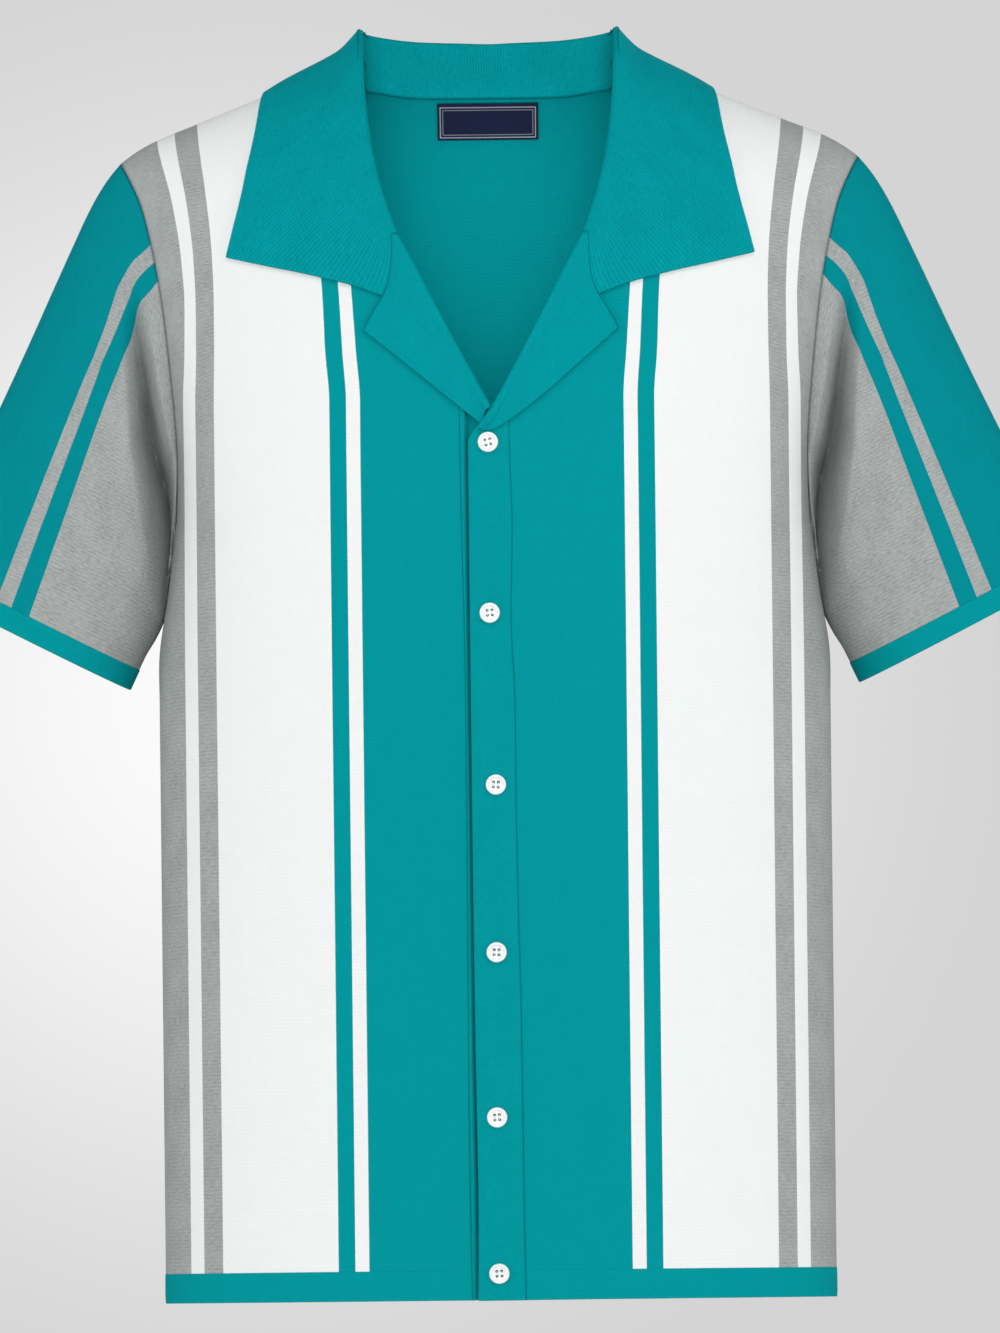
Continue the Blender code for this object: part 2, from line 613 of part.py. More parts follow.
def sleeve_band_start(turn, front_edge, back_edge):
    """The t at which the cuff band starts on each line down the sleeve, and t for a metre."""
    step = 0.05
    end = sleeve_points(turn, np.array([[1.0]]), front_edge, back_edge)
    near = sleeve_points(turn, np.array([[1.0 - step]]), front_edge, back_edge)
    rate = step / np.linalg.norm(end - near, axis=-1)
    return 1.0 - CUFF_BAND * rate, rate


def make_sleeve(side, edges):
    """A sleeve and its cuff band on one side."""
    front_edge, front_normals = edges[side]
    back_edge, back_normals = edges["back"]
    turn = np.linspace(0.0, 2 * math.pi, 2 * ARMHOLE_STEPS + 1)[:-1, None]
    band_t, rate = sleeve_band_start(turn, front_edge, back_edge)
    steps = FIRST_T + np.array(SLEEVE_STEPS) * (band_t - GAP * rate - FIRST_T)
    grid = sleeve_points(turn, steps, front_edge, back_edge)
    axis = grid.mean(axis=0, keepdims=True)
    normals = toward(grid_normals(grid, closed=True), grid - axis)
    seam_normals = np.concatenate([front_normals, back_normals[-2:0:-1]])
    share = smooth_step((np.cos(turn) - RIM_FROM) / RIM_SPREAD)
    normals[:, 0] = unit(seam_normals * share + normals[:, 0] * (1 - share))
    cuff_steps = band_t + np.array([0.0, 0.5, 1.0]) * (1.0 - band_t)
    cuff = sleeve_points(turn, cuff_steps, front_edge, back_edge)
    cuff_axis = cuff.mean(axis=0, keepdims=True)
    cuff_normals = toward(grid_normals(cuff, closed=True), cuff - cuff_axis)
    flip = mirrored if side == "right" else np.copy
    wall("sleeve_" + side, "teal", flip(grid), KNIT, flip(normals), closed=True)
    wall("cuff_" + side, "teal", flip(cuff), KNIT, flip(cuff_normals), closed=True)


# ---- collar and lapels -----------------------------------------------------------------
COLLAR_STATIONS = [0.0, 0.04, 0.08, 0.12, 0.16, 0.20, 0.24, 0.27, 0.305, 0.34, 0.37, 0.40,
                   0.43, 0.46, 0.49, 0.515, 0.54, 0.57, 0.60, 0.63, 0.66, 0.70, 0.74, 0.78,
                   0.82, 0.86, 0.91, 0.955, 1.0]
FALL_STEPS = [0.18, 0.36, 0.54, 0.70, 0.85, 1.0]
FALL_CLEARANCE = RIB + GAP + 0.0008
ROLL_LIFT = 0.0044         # height of the roll above the front that it lies on
ROLL_RADIUS = 0.0021
SEAM_LIFT = 3 * GAP        # how far the stand's foot is above the neck seam
BACK_ROLL_SIZE = 1.6       # the roll is fuller round the back of the neck
SEATED_UNTIL = 0.22        # u up to which the collar's foot lies on the front
SEATED_FADE = 0.10
GORGE_FADE = 0.10
SAG = 0.0020               # how far the fall sags between roll and edge over the shoulder


def rolled(seam, roll, out, rise, size):
    """Six columns of points: up the stand from the seam and round over the roll."""
    size = np.asarray(size)[..., None]
    columns = [
        seam,
        seam + (roll - seam) * 0.5,
        roll - rise * 0.67 * ROLL_RADIUS * size,
        roll + out * 0.29 * ROLL_RADIUS * size,
        roll + out * ROLL_RADIUS * size + rise * 0.29 * ROLL_RADIUS * size,
        roll + out * 1.9 * ROLL_RADIUS * size + rise * 0.1 * ROLL_RADIUS * size,
    ]
    return np.stack(columns, axis=1)


def frames(seam, roll, edge):
    """Directions up the stand and out over the shoulder, square to the roll's line."""
    along = unit(np.gradient(roll, axis=0))
    rise = roll - seam
    rise = unit(rise - along * np.sum(rise * along, axis=-1, keepdims=True))
    out = unit(np.cross(along, rise))
    facing = np.sum(out * (edge - roll), axis=-1, keepdims=True)
    return np.where(facing < 0, -out, out), rise


def neck_seam_back(share):
    """Neck seam from the shoulder ridge (0) to the centre back (1), evenly spaced."""
    turn = math.pi / 2 * (1 - (1 - np.linspace(0.0, 1.0, 400)) ** 4)
    x = NECK_HALF * np.maximum(np.cos(turn), 0.0) ** (1.0 / 3.0)
    z = ridge_z(x) - neck_dip(x)
    points = stack(x, body_y("back", x, z), z)
    run = np.concatenate([[0.0], np.cumsum(np.linalg.norm(np.diff(points, axis=0), axis=1))])
    at = share * run[-1]
    return np.stack([np.interp(at, run, points[:, i]) for i in range(3)], axis=-1)


def collar_half():
    """Grid of half the collar on the +X side, from the gorge to the centre back."""
    u = np.array(COLLAR_STATIONS)
    ridge_u = COLLAR_SEAM_ROWS[-1]["u"]
    seam_x = table(COLLAR_SEAM_ROWS, "x", u, key="u")
    seam_z = table(COLLAR_SEAM_ROWS, "z", u, key="u")
    front_seam = stack(seam_x, body_y("front", seam_x, seam_z), seam_z + SEAM_LIFT)
    back_seam = neck_seam_back(np.clip((u - ridge_u) / (1 - ridge_u), 0.0, 1.0))
    back_seam = back_seam + np.array([0.0, 0.0, SEAM_LIFT])
    seam = np.where((u < ridge_u)[:, None], front_seam, back_seam)
    roll = np.stack([table(COLLAR_ROLL_ROWS, axis, u, key="u") for axis in "xyz"], axis=-1)
    seated_roll, _ = on_body("front", roll[:, 0], roll[:, 2], ROLL_LIFT)
    seated, _ = on_body("front", seam_x, seam_z, GAP)
    near = (1.0 - smooth_step((u - SEATED_UNTIL) / SEATED_FADE))[:, None]
    roll = seated_roll * near + roll * (1 - near)
    seam = seated * near + seam * (1 - near)
    edge = collar_edge(u)
    out, rise = frames(seam, roll, edge)
    size = 1.0 + (BACK_ROLL_SIZE - 1.0) * smooth_step((u - 0.4) / 0.3)
    start = rolled(seam, roll, out, rise, size)
    steps = np.array(FALL_STEPS)[None, :, None]
    chord = start[:, -1:, :] + (edge[:, None, :] - start[:, -1:, :]) * steps
    chord = chord + gorge_bend(u)
    sag = SAG * smooth_step((u - 0.36) / 0.12)[:, None, None] * np.sin(math.pi * steps)
    chord = chord - sag * rise[:, None, :]
    return np.concatenate([start, clear_of_body(chord, FALL_CLEARANCE)], axis=1)


def gorge_bend(u):
    """Moves the fall's first rows from a straight line to the curve of the gorge seam."""
    steps = np.array(FALL_STEPS)
    x = table(GORGE_ROWS, "x", steps, key="f")
    z = table(GORGE_ROWS, "z", steps, key="f")
    straight_x = GORGE_ROWS[0]["x"] + (GORGE_ROWS[-1]["x"] - GORGE_ROWS[0]["x"]) * steps
    straight_z = GORGE_ROWS[0]["z"] + (GORGE_ROWS[-1]["z"] - GORGE_ROWS[0]["z"]) * steps
    bend = stack(x - straight_x, 0.0, z - straight_z)
    return bend[None] * (1.0 - smooth_step(u / GORGE_FADE))[:, None, None]


def collar_edge(u):
    """Outer edge of the collar: notch to tip, then over the shoulder to the back."""
    tip_u = COLLAR_FRONT_EDGE_ROWS[-1]["u"]
    parts = []
    for axis in "xyz":
        front = table(COLLAR_FRONT_EDGE_ROWS, axis, u, key="u")
        outer = table(COLLAR_OUTER_EDGE_ROWS, axis, u, key="u")
        parts.append(np.where(u <= tip_u, front, outer))
    return clear_of_body(np.stack(parts, axis=-1), FALL_CLEARANCE, exactly=True)


def make_collar():
    """The whole collar.  Returns its first row, along the gorge, and that row's normals."""
    half = collar_half()
    whole = np.concatenate([half, mirrored(half[-2::-1])])
    normals = grid_normals(whole)
    up = np.zeros_like(whole)
    up[:, 4, 2] = 1.0
    normals = toward(normals, up)
    wall("collar", "collar", whole, RIB, normals)
    return half[0], normals[0]


def lapel_roll(share, ends):
    """Front-view points down a lapel's roll line, evenly spaced from the gorge."""
    z = np.linspace(GORGE_ROWS[0]["z"], ROLL_ROWS[-1]["z"], 100)
    x = table(ROLL_ROWS, "x", z)
    if ends:
        x = np.concatenate([x, [row["x"] for row in ends]])
        z = np.concatenate([z, [row["z"] for row in ends]])
    run = np.concatenate([[0.0], np.cumsum(np.hypot(np.diff(x), np.diff(z)))])
    at = share * run[-1]
    return np.interp(at, run, x), np.interp(at, run, z)


LAPEL_STEPS = 11
FLAT_FALL_STEPS = [0.13, 0.26, 0.39, 0.50, 0.61, 0.72, 0.86, 1.0]
CORNER_FADE = 0.30         # share of the roll over which the gorge's shape fades out
GORGE_SPACE = 0.0006       # space between collar and lapel along the gorge
TOP_LAPEL_ROLL_END = [{"x": -0.0040, "z": -0.1998}]
TOP_LAPEL_EDGE_ROWS = [
    {"f": 0.0, "x": 0.0712, "z": -0.1505},
    {"f": 0.8, "x": 0.0084, "z": -0.2021},
    {"f": 1.0, "x": 0.0010, "z": -0.2078},
]
UNDER_LAPEL_EDGE_ROWS = [
    {"f": 0.0, "x": 0.0712, "z": -0.1505},
    {"f": 0.5, "x": 0.0400, "z": -0.1761},
    {"f": 1.0, "x": 0.0105, "z": -0.2004},
]
UNDER_LAPEL_END = 0.955    # the under lapel stops short of the top one


def make_lapel(side, gorge, gorge_normals):
    """A lapel: the top of a front rolled outwards and laid on the front."""
    top = side == "left"
    share = np.linspace(0.0, 1.0, LAPEL_STEPS) * (1.0 if top else UNDER_LAPEL_END)
    roll_x, roll_z = lapel_roll(share, TOP_LAPEL_ROLL_END if top else None)
    base = lapping_lift(roll_x) if top else np.zeros_like(roll_x)
    edge_rows = TOP_LAPEL_EDGE_ROWS if top else UNDER_LAPEL_EDGE_ROWS
    end = share / share[-1]
    edge_x = table(edge_rows, "x", end, key="f")
    edge_z = table(edge_rows, "z", end, key="f")
    roll, normal = on_body("front", roll_x, roll_z, base + ROLL_LIFT)
    along = unit(np.gradient(roll, axis=0))
    out = unit(np.cross(along, normal))
    out = np.where(out[:, :1] < 0, -out, out)
    seam = roll + out * ROLL_TUCK - normal * (ROLL_LIFT - GAP)
    start = rolled(seam, roll, out, normal, np.ones_like(share))
    steps = np.array(FLAT_FALL_STEPS)
    across_x = start[:, -1, 0][:, None] + (edge_x - start[:, -1, 0])[:, None] * steps
    across_z = start[:, -1, 2][:, None] + (edge_z - start[:, -1, 2])[:, None] * steps
    corner = np.array([[LAPEL_CORNER["x"], LAPEL_CORNER["z"]]])
    notch = gorge[-1, [0, 2]][None]
    first = np.concatenate([gorge[6:, [0, 2]], (notch + corner) / 2, corner])
    near = (1.0 - smooth_step(share / CORNER_FADE))[:, None]
    across_x = across_x + near * (first[:, 0] - across_x[0])
    across_z = across_z + near * (first[:, 1] - across_z[0])
    flat_lift = FALL_CLEARANCE + (ROLL_LIFT - FALL_CLEARANCE) * (1 - steps) ** 2
    under = lapping_lift(across_x) if top else 0.0 * across_x
    fall, _ = on_body("front", across_x, across_z, under + flat_lift)
    grid = np.concatenate([start, fall], axis=1)
    grid[0, :len(gorge)] = gorge
    shift = unit(grid[1, 0] - grid[0, 0]) * GORGE_SPACE
    fade = np.linspace(1.0, 0.0, LAPEL_STEPS)[:, None, None] ** 4
    grid = grid + shift * fade
    normals = grid_normals(grid)
    reference = np.zeros_like(grid)
    reference[..., 1] = -1.0
    normals = toward(normals, reference)
    normals[0, :len(gorge)] = gorge_normals
    flip = mirrored if side == "right" else np.copy
    wall("lapel_" + side, "collar", flip(grid), RIB, flip(normals))


# ---- label and buttons -----------------------------------------------------------------
LABEL = {"left": -0.0300, "right": 0.0287, "top": -0.0115, "bottom": -0.0315, "thick": 0.0010}
LABEL_CLEARANCE = 0.0006
BUTTON_PROFILE = [
    {"r": 0.35, "h": 0.62},
    {"r": 0.66, "h": 0.70},
    {"r": 0.76, "h": 0.96},
    {"r": 0.90, "h": 1.00},
    {"r": 1.00, "h": 0.72},
    {"r": 0.97, "h": 0.30},
    {"r": 0.72, "h": 0.00},
]
BUTTON_SIDES = 20


def make_label():
    """The bare neck label inside the back."""
    x = np.linspace(LABEL["left"], LABEL["right"], 8)[None, :]
    z = np.linspace(LABEL["top"], LABEL["bottom"], 5)[:, None]
    lift = -(KNIT + LABEL_CLEARANCE + LABEL["thick"])
    grid, normals = on_body("back", x, z, lift)
    wall("label", "navy", grid, LABEL["thick"], -normals)


def make_buttons():
    """Six turned buttons on the top band."""
    turn = np.linspace(0.0, 2 * math.pi, BUTTON_SIDES + 1)[:-1]
    for number, row in enumerate(BUTTON_ROWS, start=1):
        centre, normal = on_body("front", row["x"], row["z"], LAP + GAP)
        right = unit(np.cross(np.array([0.0, 0.0, 1.0]), normal))
        up = np.cross(normal, right)
        points = []
        for ring in BUTTON_PROFILE:
            radius = ring["r"] * BUTTON_DIAMETER / 2
            circle = right * np.cos(turn)[:, None] + up * np.sin(turn)[:, None]
            points.append(centre + circle * radius + normal * ring["h"] * BUTTON_HEIGHT)
        number_of = np.arange(len(points) * BUTTON_SIDES).reshape(-1, BUTTON_SIDES)
        around = np.concatenate([number_of, number_of[:, :1]], axis=1)
        faces = quads(around).tolist()
        faces.append(number_of[0].tolist())
        faces.append(number_of[-1, ::-1].tolist())
        solid("button_%d" % number, "button", np.concatenate(points), faces)


def main():
    for old in list(bpy.data.objects):
        bpy.data.objects.remove(old, do_unlink=True)
    edges = make_body()
    make_placket()
    make_sleeve("left", edges)
    make_sleeve("right", edges)
    gorge, gorge_normals = make_collar()
    make_lapel("left", gorge, gorge_normals)
    make_lapel("right", gorge, gorge_normals)
    make_label()
    make_buttons()


main()
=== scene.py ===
import math

import bpy
import numpy as np
from bpy.props import FloatProperty, FloatVectorProperty, PointerProperty
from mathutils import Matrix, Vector


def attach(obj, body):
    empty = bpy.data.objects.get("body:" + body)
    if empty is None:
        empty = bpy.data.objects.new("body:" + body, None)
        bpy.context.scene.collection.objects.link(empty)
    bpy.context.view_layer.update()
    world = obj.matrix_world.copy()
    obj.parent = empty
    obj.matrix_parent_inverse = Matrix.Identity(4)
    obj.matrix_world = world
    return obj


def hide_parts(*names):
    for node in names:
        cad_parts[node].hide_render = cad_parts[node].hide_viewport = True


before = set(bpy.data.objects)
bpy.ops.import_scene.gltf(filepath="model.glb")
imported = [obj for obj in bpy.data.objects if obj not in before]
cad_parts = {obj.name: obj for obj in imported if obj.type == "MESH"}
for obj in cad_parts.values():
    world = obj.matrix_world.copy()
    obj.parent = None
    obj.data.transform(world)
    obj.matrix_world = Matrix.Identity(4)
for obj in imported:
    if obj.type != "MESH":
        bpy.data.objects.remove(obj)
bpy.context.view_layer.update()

bl_info = {
    "name": "Knitted polo shirt",
    "version": (1, 0, 0),
    "blender": (4, 5, 0),
    "location": "3D View > Sidebar > Polo shirt",
    "description": "Dresses a short-sleeved striped polo shirt with knitted cloth, buttons and a label",
    "category": "Add Mesh",
}

# ---- sizes of the shirt, in metres ---------------------------------------------------
GAP = 0.0003               # space between pieces at the armhole and shoulder seams
NECK_HALF = 0.0725
NECK_DROP = 0.0195
RIDGE_TOP = 0.0108
SLOPE_START_X = 0.0740
SLOPE_START_ROUND = 0.006
SHOULDER_SLOPE = 0.40
SHOULDER_X = 0.211
SHOULDER_ROUND_X = 0.188
SHOULDER_ROUND_DROP = 0.0045
UNDERARM_Z = -0.261
ARMHOLE_HALF_DEPTH = 0.050
ARMHOLE_TOP_SPARE = 0.004  # the armhole's curves are read up to this far below its top
SEAM_SHARE_LIMIT = 0.92    # the armhole seam's y is at most this share of the body's depth
SECTION_POWER = 2.4        # superellipse power of the horizontal sections
FRONT_RIDGE_REACH = 0.25
BACK_RIDGE_REACH = 0.14
HEM_Z = -0.702
HEM_DIP = 0.010            # how much lower the hem is at the side seams
HEM_BAND = 0.0165
CUFF_BAND = 0.0128
BAND_FREE_X = -0.0137
BAND_SEAM_X = 0.0115
UNDER_BAND_X = -0.0185
UNDER_BAND_END_X = 0.0055
LAP = 0.0019               # how far the lapping front stands above the under front
LAP_FADE_X = 0.050         # x past which the lapping front lies on the body again
ROLL_TUCK = 0.0012         # how far inside its front's edge a lapel starts
SIDE_PULL = 8              # the hollow under the arm draws the section in only near its side
SIDE_PULL_LIMIT = 1.1      # up to this multiple of the section's half width
HEM_RISE_TOP = -0.45       # below this the panels' rows start to follow the hem's curve
HEM_RISE_REACH = 0.22

# Half width of the body below the underarm, and its depth to front and back.  "easy" is
# the half width that the section would have without the hollow under the arm.
BODY_ROWS = [
    {"z": -0.720, "half_width": 0.1922, "easy": 0.1922, "front": 0.1120, "back": 0.1070},
    {"z": -0.550, "half_width": 0.1922, "easy": 0.1922, "front": 0.1130, "back": 0.1060},
    {"z": -0.400, "half_width": 0.1922, "easy": 0.1922, "front": 0.1160, "back": 0.1060},
    {"z": -0.345, "half_width": 0.1922, "easy": 0.1924, "front": 0.1170, "back": 0.1065},
    {"z": -0.330, "half_width": 0.1919, "easy": 0.1928, "front": 0.1172, "back": 0.1068},
    {"z": -0.318, "half_width": 0.1904, "easy": 0.1930, "front": 0.1174, "back": 0.1070},
    {"z": -0.300, "half_width": 0.1872, "easy": 0.1933, "front": 0.1176, "back": 0.1074},
    {"z": -0.278, "half_width": 0.1843, "easy": 0.1940, "front": 0.1179, "back": 0.1078},
    {"z": -0.261, "half_width": 0.1823, "easy": 0.1948, "front": 0.1180, "back": 0.1080},
    {"z": -0.200, "half_width": 0.1823, "easy": 0.1978, "front": 0.1180, "back": 0.1080},
    {"z": -0.150, "half_width": 0.1823, "easy": 0.2030, "front": 0.1180, "back": 0.1080},
    {"z": -0.100, "half_width": 0.1823, "easy": 0.2140, "front": 0.1180, "back": 0.1080},
    {"z": -0.070, "half_width": 0.1823, "easy": 0.2250, "front": 0.1180, "back": 0.1080},
    {"z": -0.0525, "half_width": 0.1823, "easy": 0.2500, "front": 0.1180, "back": 0.1080},
    {"z": 0.0200, "half_width": 0.1823, "easy": 0.2550, "front": 0.1180, "back": 0.1080},
]

# Armhole seam seen from the front.
ARMHOLE_ROWS = [
    {"z": -0.2610, "x": 0.1823},
    {"z": -0.2490, "x": 0.1804},
    {"z": -0.2330, "x": 0.1791},
    {"z": -0.2150, "x": 0.1788},
    {"z": -0.1710, "x": 0.1819},
    {"z": -0.1240, "x": 0.1873},
    {"z": -0.0740, "x": 0.1985},
    {"z": -0.0485, "x": 0.2110},
]

# Sleeve sections from the armhole to the end: top and low point, and half depth.
SLEEVE_ROWS = [
    {"t": 0.00, "top_x": 0.2110, "top_z": -0.0485, "low_x": 0.1823, "low_z": -0.2610, "depth": 0.0500},
    {"t": 0.06, "top_x": 0.2195, "top_z": -0.0590, "low_x": 0.1827, "low_z": -0.2670, "depth": 0.0510},
    {"t": 0.14, "top_x": 0.2280, "top_z": -0.0730, "low_x": 0.1835, "low_z": -0.2740, "depth": 0.0515},
    {"t": 0.30, "top_x": 0.2440, "top_z": -0.1065, "low_x": 0.1850, "low_z": -0.2860, "depth": 0.0505},
    {"t": 0.55, "top_x": 0.2715, "top_z": -0.1660, "low_x": 0.1887, "low_z": -0.3100, "depth": 0.0480},
    {"t": 0.80, "top_x": 0.3040, "top_z": -0.2330, "low_x": 0.2004, "low_z": -0.3320, "depth": 0.0445},
    {"t": 1.00, "top_x": 0.3310, "top_z": -0.2877, "low_x": 0.2091, "low_z": -0.3502, "depth": 0.0420},
]

# Roll line of a lapel from the gorge seam down to the V, seen from the front.
ROLL_ROWS = [
    {"x": 0.0716, "z": 0.0120},
    {"x": 0.0709, "z": 0.0049},
    {"x": 0.0684, "z": -0.0244},
    {"x": 0.0645, "z": -0.0522},
    {"x": 0.0577, "z": -0.0786},
    {"x": 0.0511, "z": -0.0971},
    {"x": 0.0425, "z": -0.1138},
    {"x": 0.0268, "z": -0.1446},
    {"x": 0.0164, "z": -0.1644},
    {"x": 0.0000, "z": -0.1946},
]

# Gorge seam between collar and lapel, from the roll to the notch, and the lapel's corner.
GORGE_ROWS = [
    {"f": 0.00, "x": 0.0511, "z": -0.0971},
    {"f": 0.45, "x": 0.0534, "z": -0.1156},
    {"f": 0.78, "x": 0.0563, "z": -0.1282},
    {"f": 1.00, "x": 0.0603, "z": -0.1374},
]
LAPEL_CORNER = {"x": 0.0712, "z": -0.1505}

# Top ends of the placket bands, cut along the lapels' roll lines.
TOP_BAND_END_ROWS = [
    {"x": -0.0137, "z": -0.2135},
    {"x": -0.0110, "z": -0.2089},
    {"x": -0.0056, "z": -0.2021},
    {"x": 0.0000, "z": -0.1946},
    {"x": 0.0115, "z": -0.1765},
]
UNDER_BAND_END_ROWS = [
    {"x": -0.0185, "z": -0.1606},
    {"x": -0.0100, "z": -0.1768},
    {"x": 0.0000, "z": -0.1965},
    {"x": 0.0055, "z": -0.2020},
]

# Collar, from the gorge (u 0) to the centre back (u 1): where its roll runs.
COLLAR_ROLL_ROWS = [
    {"u": 0.00, "x": 0.0511, "y": -0.1001, "z": -0.0971},
    {"u": 0.08, "x": 0.0577, "y": -0.0930, "z": -0.0786},
    {"u": 0.16, "x": 0.0622, "y": -0.0853, "z": -0.0620},
    {"u": 0.24, "x": 0.0655, "y": -0.0761, "z": -0.0450},
    {"u": 0.34, "x": 0.0688, "y": -0.0612, "z": -0.0190},
    {"u": 0.44, "x": 0.0708, "y": -0.0412, "z": 0.0075},
    {"u": 0.54, "x": 0.0717, "y": -0.0060, "z": 0.0258},
    {"u": 0.66, "x": 0.0716, "y": 0.0250, "z": 0.0272},
    {"u": 0.76, "x": 0.0640, "y": 0.0470, "z": 0.0262},
    {"u": 0.86, "x": 0.0400, "y": 0.0565, "z": 0.0238},
    {"u": 1.00, "x": 0.0000, "y": 0.0590, "z": 0.0228},
]
# Neck seam below the collar on the front, from the gorge up to the shoulder ridge.
COLLAR_SEAM_ROWS = [
    {"u": 0.00, "x": 0.0523, "z": -0.0971},
    {"u": 0.08, "x": 0.0589, "z": -0.0786},
    {"u": 0.16, "x": 0.0634, "z": -0.0625},
    {"u": 0.24, "x": 0.0667, "z": -0.0465},
    {"u": 0.34, "x": 0.0698, "z": -0.0245},
    {"u": 0.44, "x": 0.0718, "z": -0.0035},
    {"u": 0.54, "x": 0.0725, "z": 0.0100},
]
COLLAR_FRONT_EDGE_ROWS = [
    {"u": 0.00, "x": 0.0606, "y": -0.1010, "z": -0.1372},
    {"u": 0.08, "x": 0.0935, "y": -0.0960, "z": -0.1232},
    {"u": 0.16, "x": 0.1225, "y": -0.0880, "z": -0.1118},
    {"u": 0.24, "x": 0.1488, "y": -0.0750, "z": -0.1051},
]
COLLAR_OUTER_EDGE_ROWS = [
    {"u": 0.24, "x": 0.1488, "y": -0.0750, "z": -0.1051},
    {"u": 0.34, "x": 0.1395, "y": -0.0640, "z": -0.0725},
    {"u": 0.44, "x": 0.1325, "y": -0.0450, "z": -0.0420},
    {"u": 0.54, "x": 0.1287, "y": -0.0120, "z": -0.0150},
    {"u": 0.66, "x": 0.1210, "y": 0.0420, "z": -0.0200},
    {"u": 0.76, "x": 0.1010, "y": 0.0700, "z": -0.0340},
    {"u": 0.86, "x": 0.0620, "y": 0.0830, "z": -0.0390},
    {"u": 1.00, "x": 0.0000, "y": 0.0860, "z": -0.0395},
]

# Buttons down the top band.
BUTTON_ROWS = [
    {"x": -0.0024, "z": -0.2143},
    {"x": -0.0024, "z": -0.3090},
    {"x": 0.0000, "z": -0.4045},
    {"x": -0.0006, "z": -0.4978},
    {"x": -0.0013, "z": -0.5898},
    {"x": -0.0010, "z": -0.6768},
]


# ---- numbers to curves ---------------------------------------------------------------
def table(rows, column, at, key="z"):
    """Smooth curve through a table: cubic Hermite pieces that don't overshoot a row."""
    ordered = sorted(rows, key=lambda row: row[key])
    knots = np.array([row[key] for row in ordered])
    values = np.array([row[column] for row in ordered])
    steps = np.diff(knots)
    rates = np.diff(values) / steps
    slopes = np.empty(len(knots))
    slopes[0] = rates[0]
    slopes[-1] = rates[-1]
    before = rates[:-1]
    after = rates[1:]
    same = before * after > 0
    total = np.where(same, before + after, 1.0)
    slopes[1:-1] = np.where(same, 2 * before * after / total, 0.0)
    at = np.clip(np.asarray(at, dtype=float), knots[0], knots[-1])
    i = np.clip(np.searchsorted(knots, at) - 1, 0, len(knots) - 2)
    f = (at - knots[i]) / steps[i]
    start = (1 + 2 * f) * (1 - f) ** 2 * values[i] + f * (1 - f) ** 2 * steps[i] * slopes[i]
    end = f * f * (3 - 2 * f) * values[i + 1] + f * f * (f - 1) * steps[i] * slopes[i + 1]
    return start + end


def smooth_step(f):
    """0 below 0, 1 above 1, and an S curve between."""
    f = np.clip(f, 0.0, 1.0)
    return f * f * (3 - 2 * f)


def unit(vectors):
    """Vectors of the same directions and length 1."""
    return vectors / np.maximum(np.linalg.norm(vectors, axis=-1, keepdims=True), 1e-12)


def stack(x, y, z):
    """One array of points from three arrays of coordinates."""
    return np.stack(np.broadcast_arrays(x, y, z), axis=-1).astype(float)


# ---- the body's surface --------------------------------------------------------------
FACE_SIGN = {"front": -1.0, "back": 1.0}
RIDGE_REACH = {"front": FRONT_RIDGE_REACH, "back": BACK_RIDGE_REACH}


def ridge_z(x):
    """Height of the shoulder line: level over the neck, then falling and rounding off."""
    beyond = np.abs(x) - SLOPE_START_X
    run = 0.5 * (beyond + np.sqrt(beyond ** 2 + SLOPE_START_ROUND ** 2))
    rounding = np.maximum(np.abs(x) - SHOULDER_ROUND_X, 0.0) / (SHOULDER_X - SHOULDER_ROUND_X)
    return RIDGE_TOP - SHOULDER_SLOPE * run - SHOULDER_ROUND_DROP * rounding ** 2


def rise_share(face, below):
    """Share of the full depth at a distance below the ridge: a quarter ellipse."""
    reach = RIDGE_REACH[face]
    left = 1.0 - np.clip(below, 0.0, reach) / reach
    return np.sqrt(np.maximum(1.0 - left ** 2, 0.0))


def armhole_heights(turn):
    """Height on the armhole seam at a turn of 0 at the shoulder to pi at the underarm."""
    top = float(ridge_z(SHOULDER_X))
    return (top + UNDERARM_Z) / 2 + (top - UNDERARM_Z) / 2 * np.cos(turn)


def section_edge(face, z):
    """x where a section ends, at the side or the armhole, and its share of the ellipse."""
    top = float(ridge_z(SHOULDER_X))
    level = np.clip(z, UNDERARM_Z, top - ARMHOLE_TOP_SPARE)
    seam_x = table(ARMHOLE_ROWS, "x", level)
    swing = np.clip((level - (top + UNDERARM_Z) / 2) / ((top - UNDERARM_Z) / 2), -1.0, 1.0)
    seam_y = ARMHOLE_HALF_DEPTH * np.sqrt(1.0 - swing ** 2)
    reach = table(BODY_ROWS, face, level) * rise_share(face, ridge_z(seam_x) - level)
    share = np.clip(seam_y / reach, 0.0, SEAM_SHARE_LIMIT) ** SECTION_POWER
    seam_share = (1.0 - share) ** (1.0 / SECTION_POWER)
    above = z > UNDERARM_Z
    edge_x = np.where(above, seam_x, table(BODY_ROWS, "half_width", z))
    return edge_x, np.where(above, seam_share, 1.0)


def section_depth(face, x, z):
    """Depth of the horizontal section at x: a superellipse, drawn in under the arm."""
    edge_x, edge_share = section_edge(face, z)
    easy = table(BODY_ROWS, "easy", z)
    pull = edge_share * easy / edge_x - 1.0
    x = np.abs(x)
    share = x / easy * (1.0 + pull * np.minimum(x / edge_x, SIDE_PULL_LIMIT) ** SIDE_PULL)
    across = np.clip(share, 0.0, 1.0) ** SECTION_POWER
    return table(BODY_ROWS, face, z) * (1.0 - across) ** (1.0 / SECTION_POWER)


def body_y(face, x, z):
    """y of the body's outer face over a point of the front view."""
    return FACE_SIGN[face] * section_depth(face, x, z) * rise_share(face, ridge_z(x) - z)


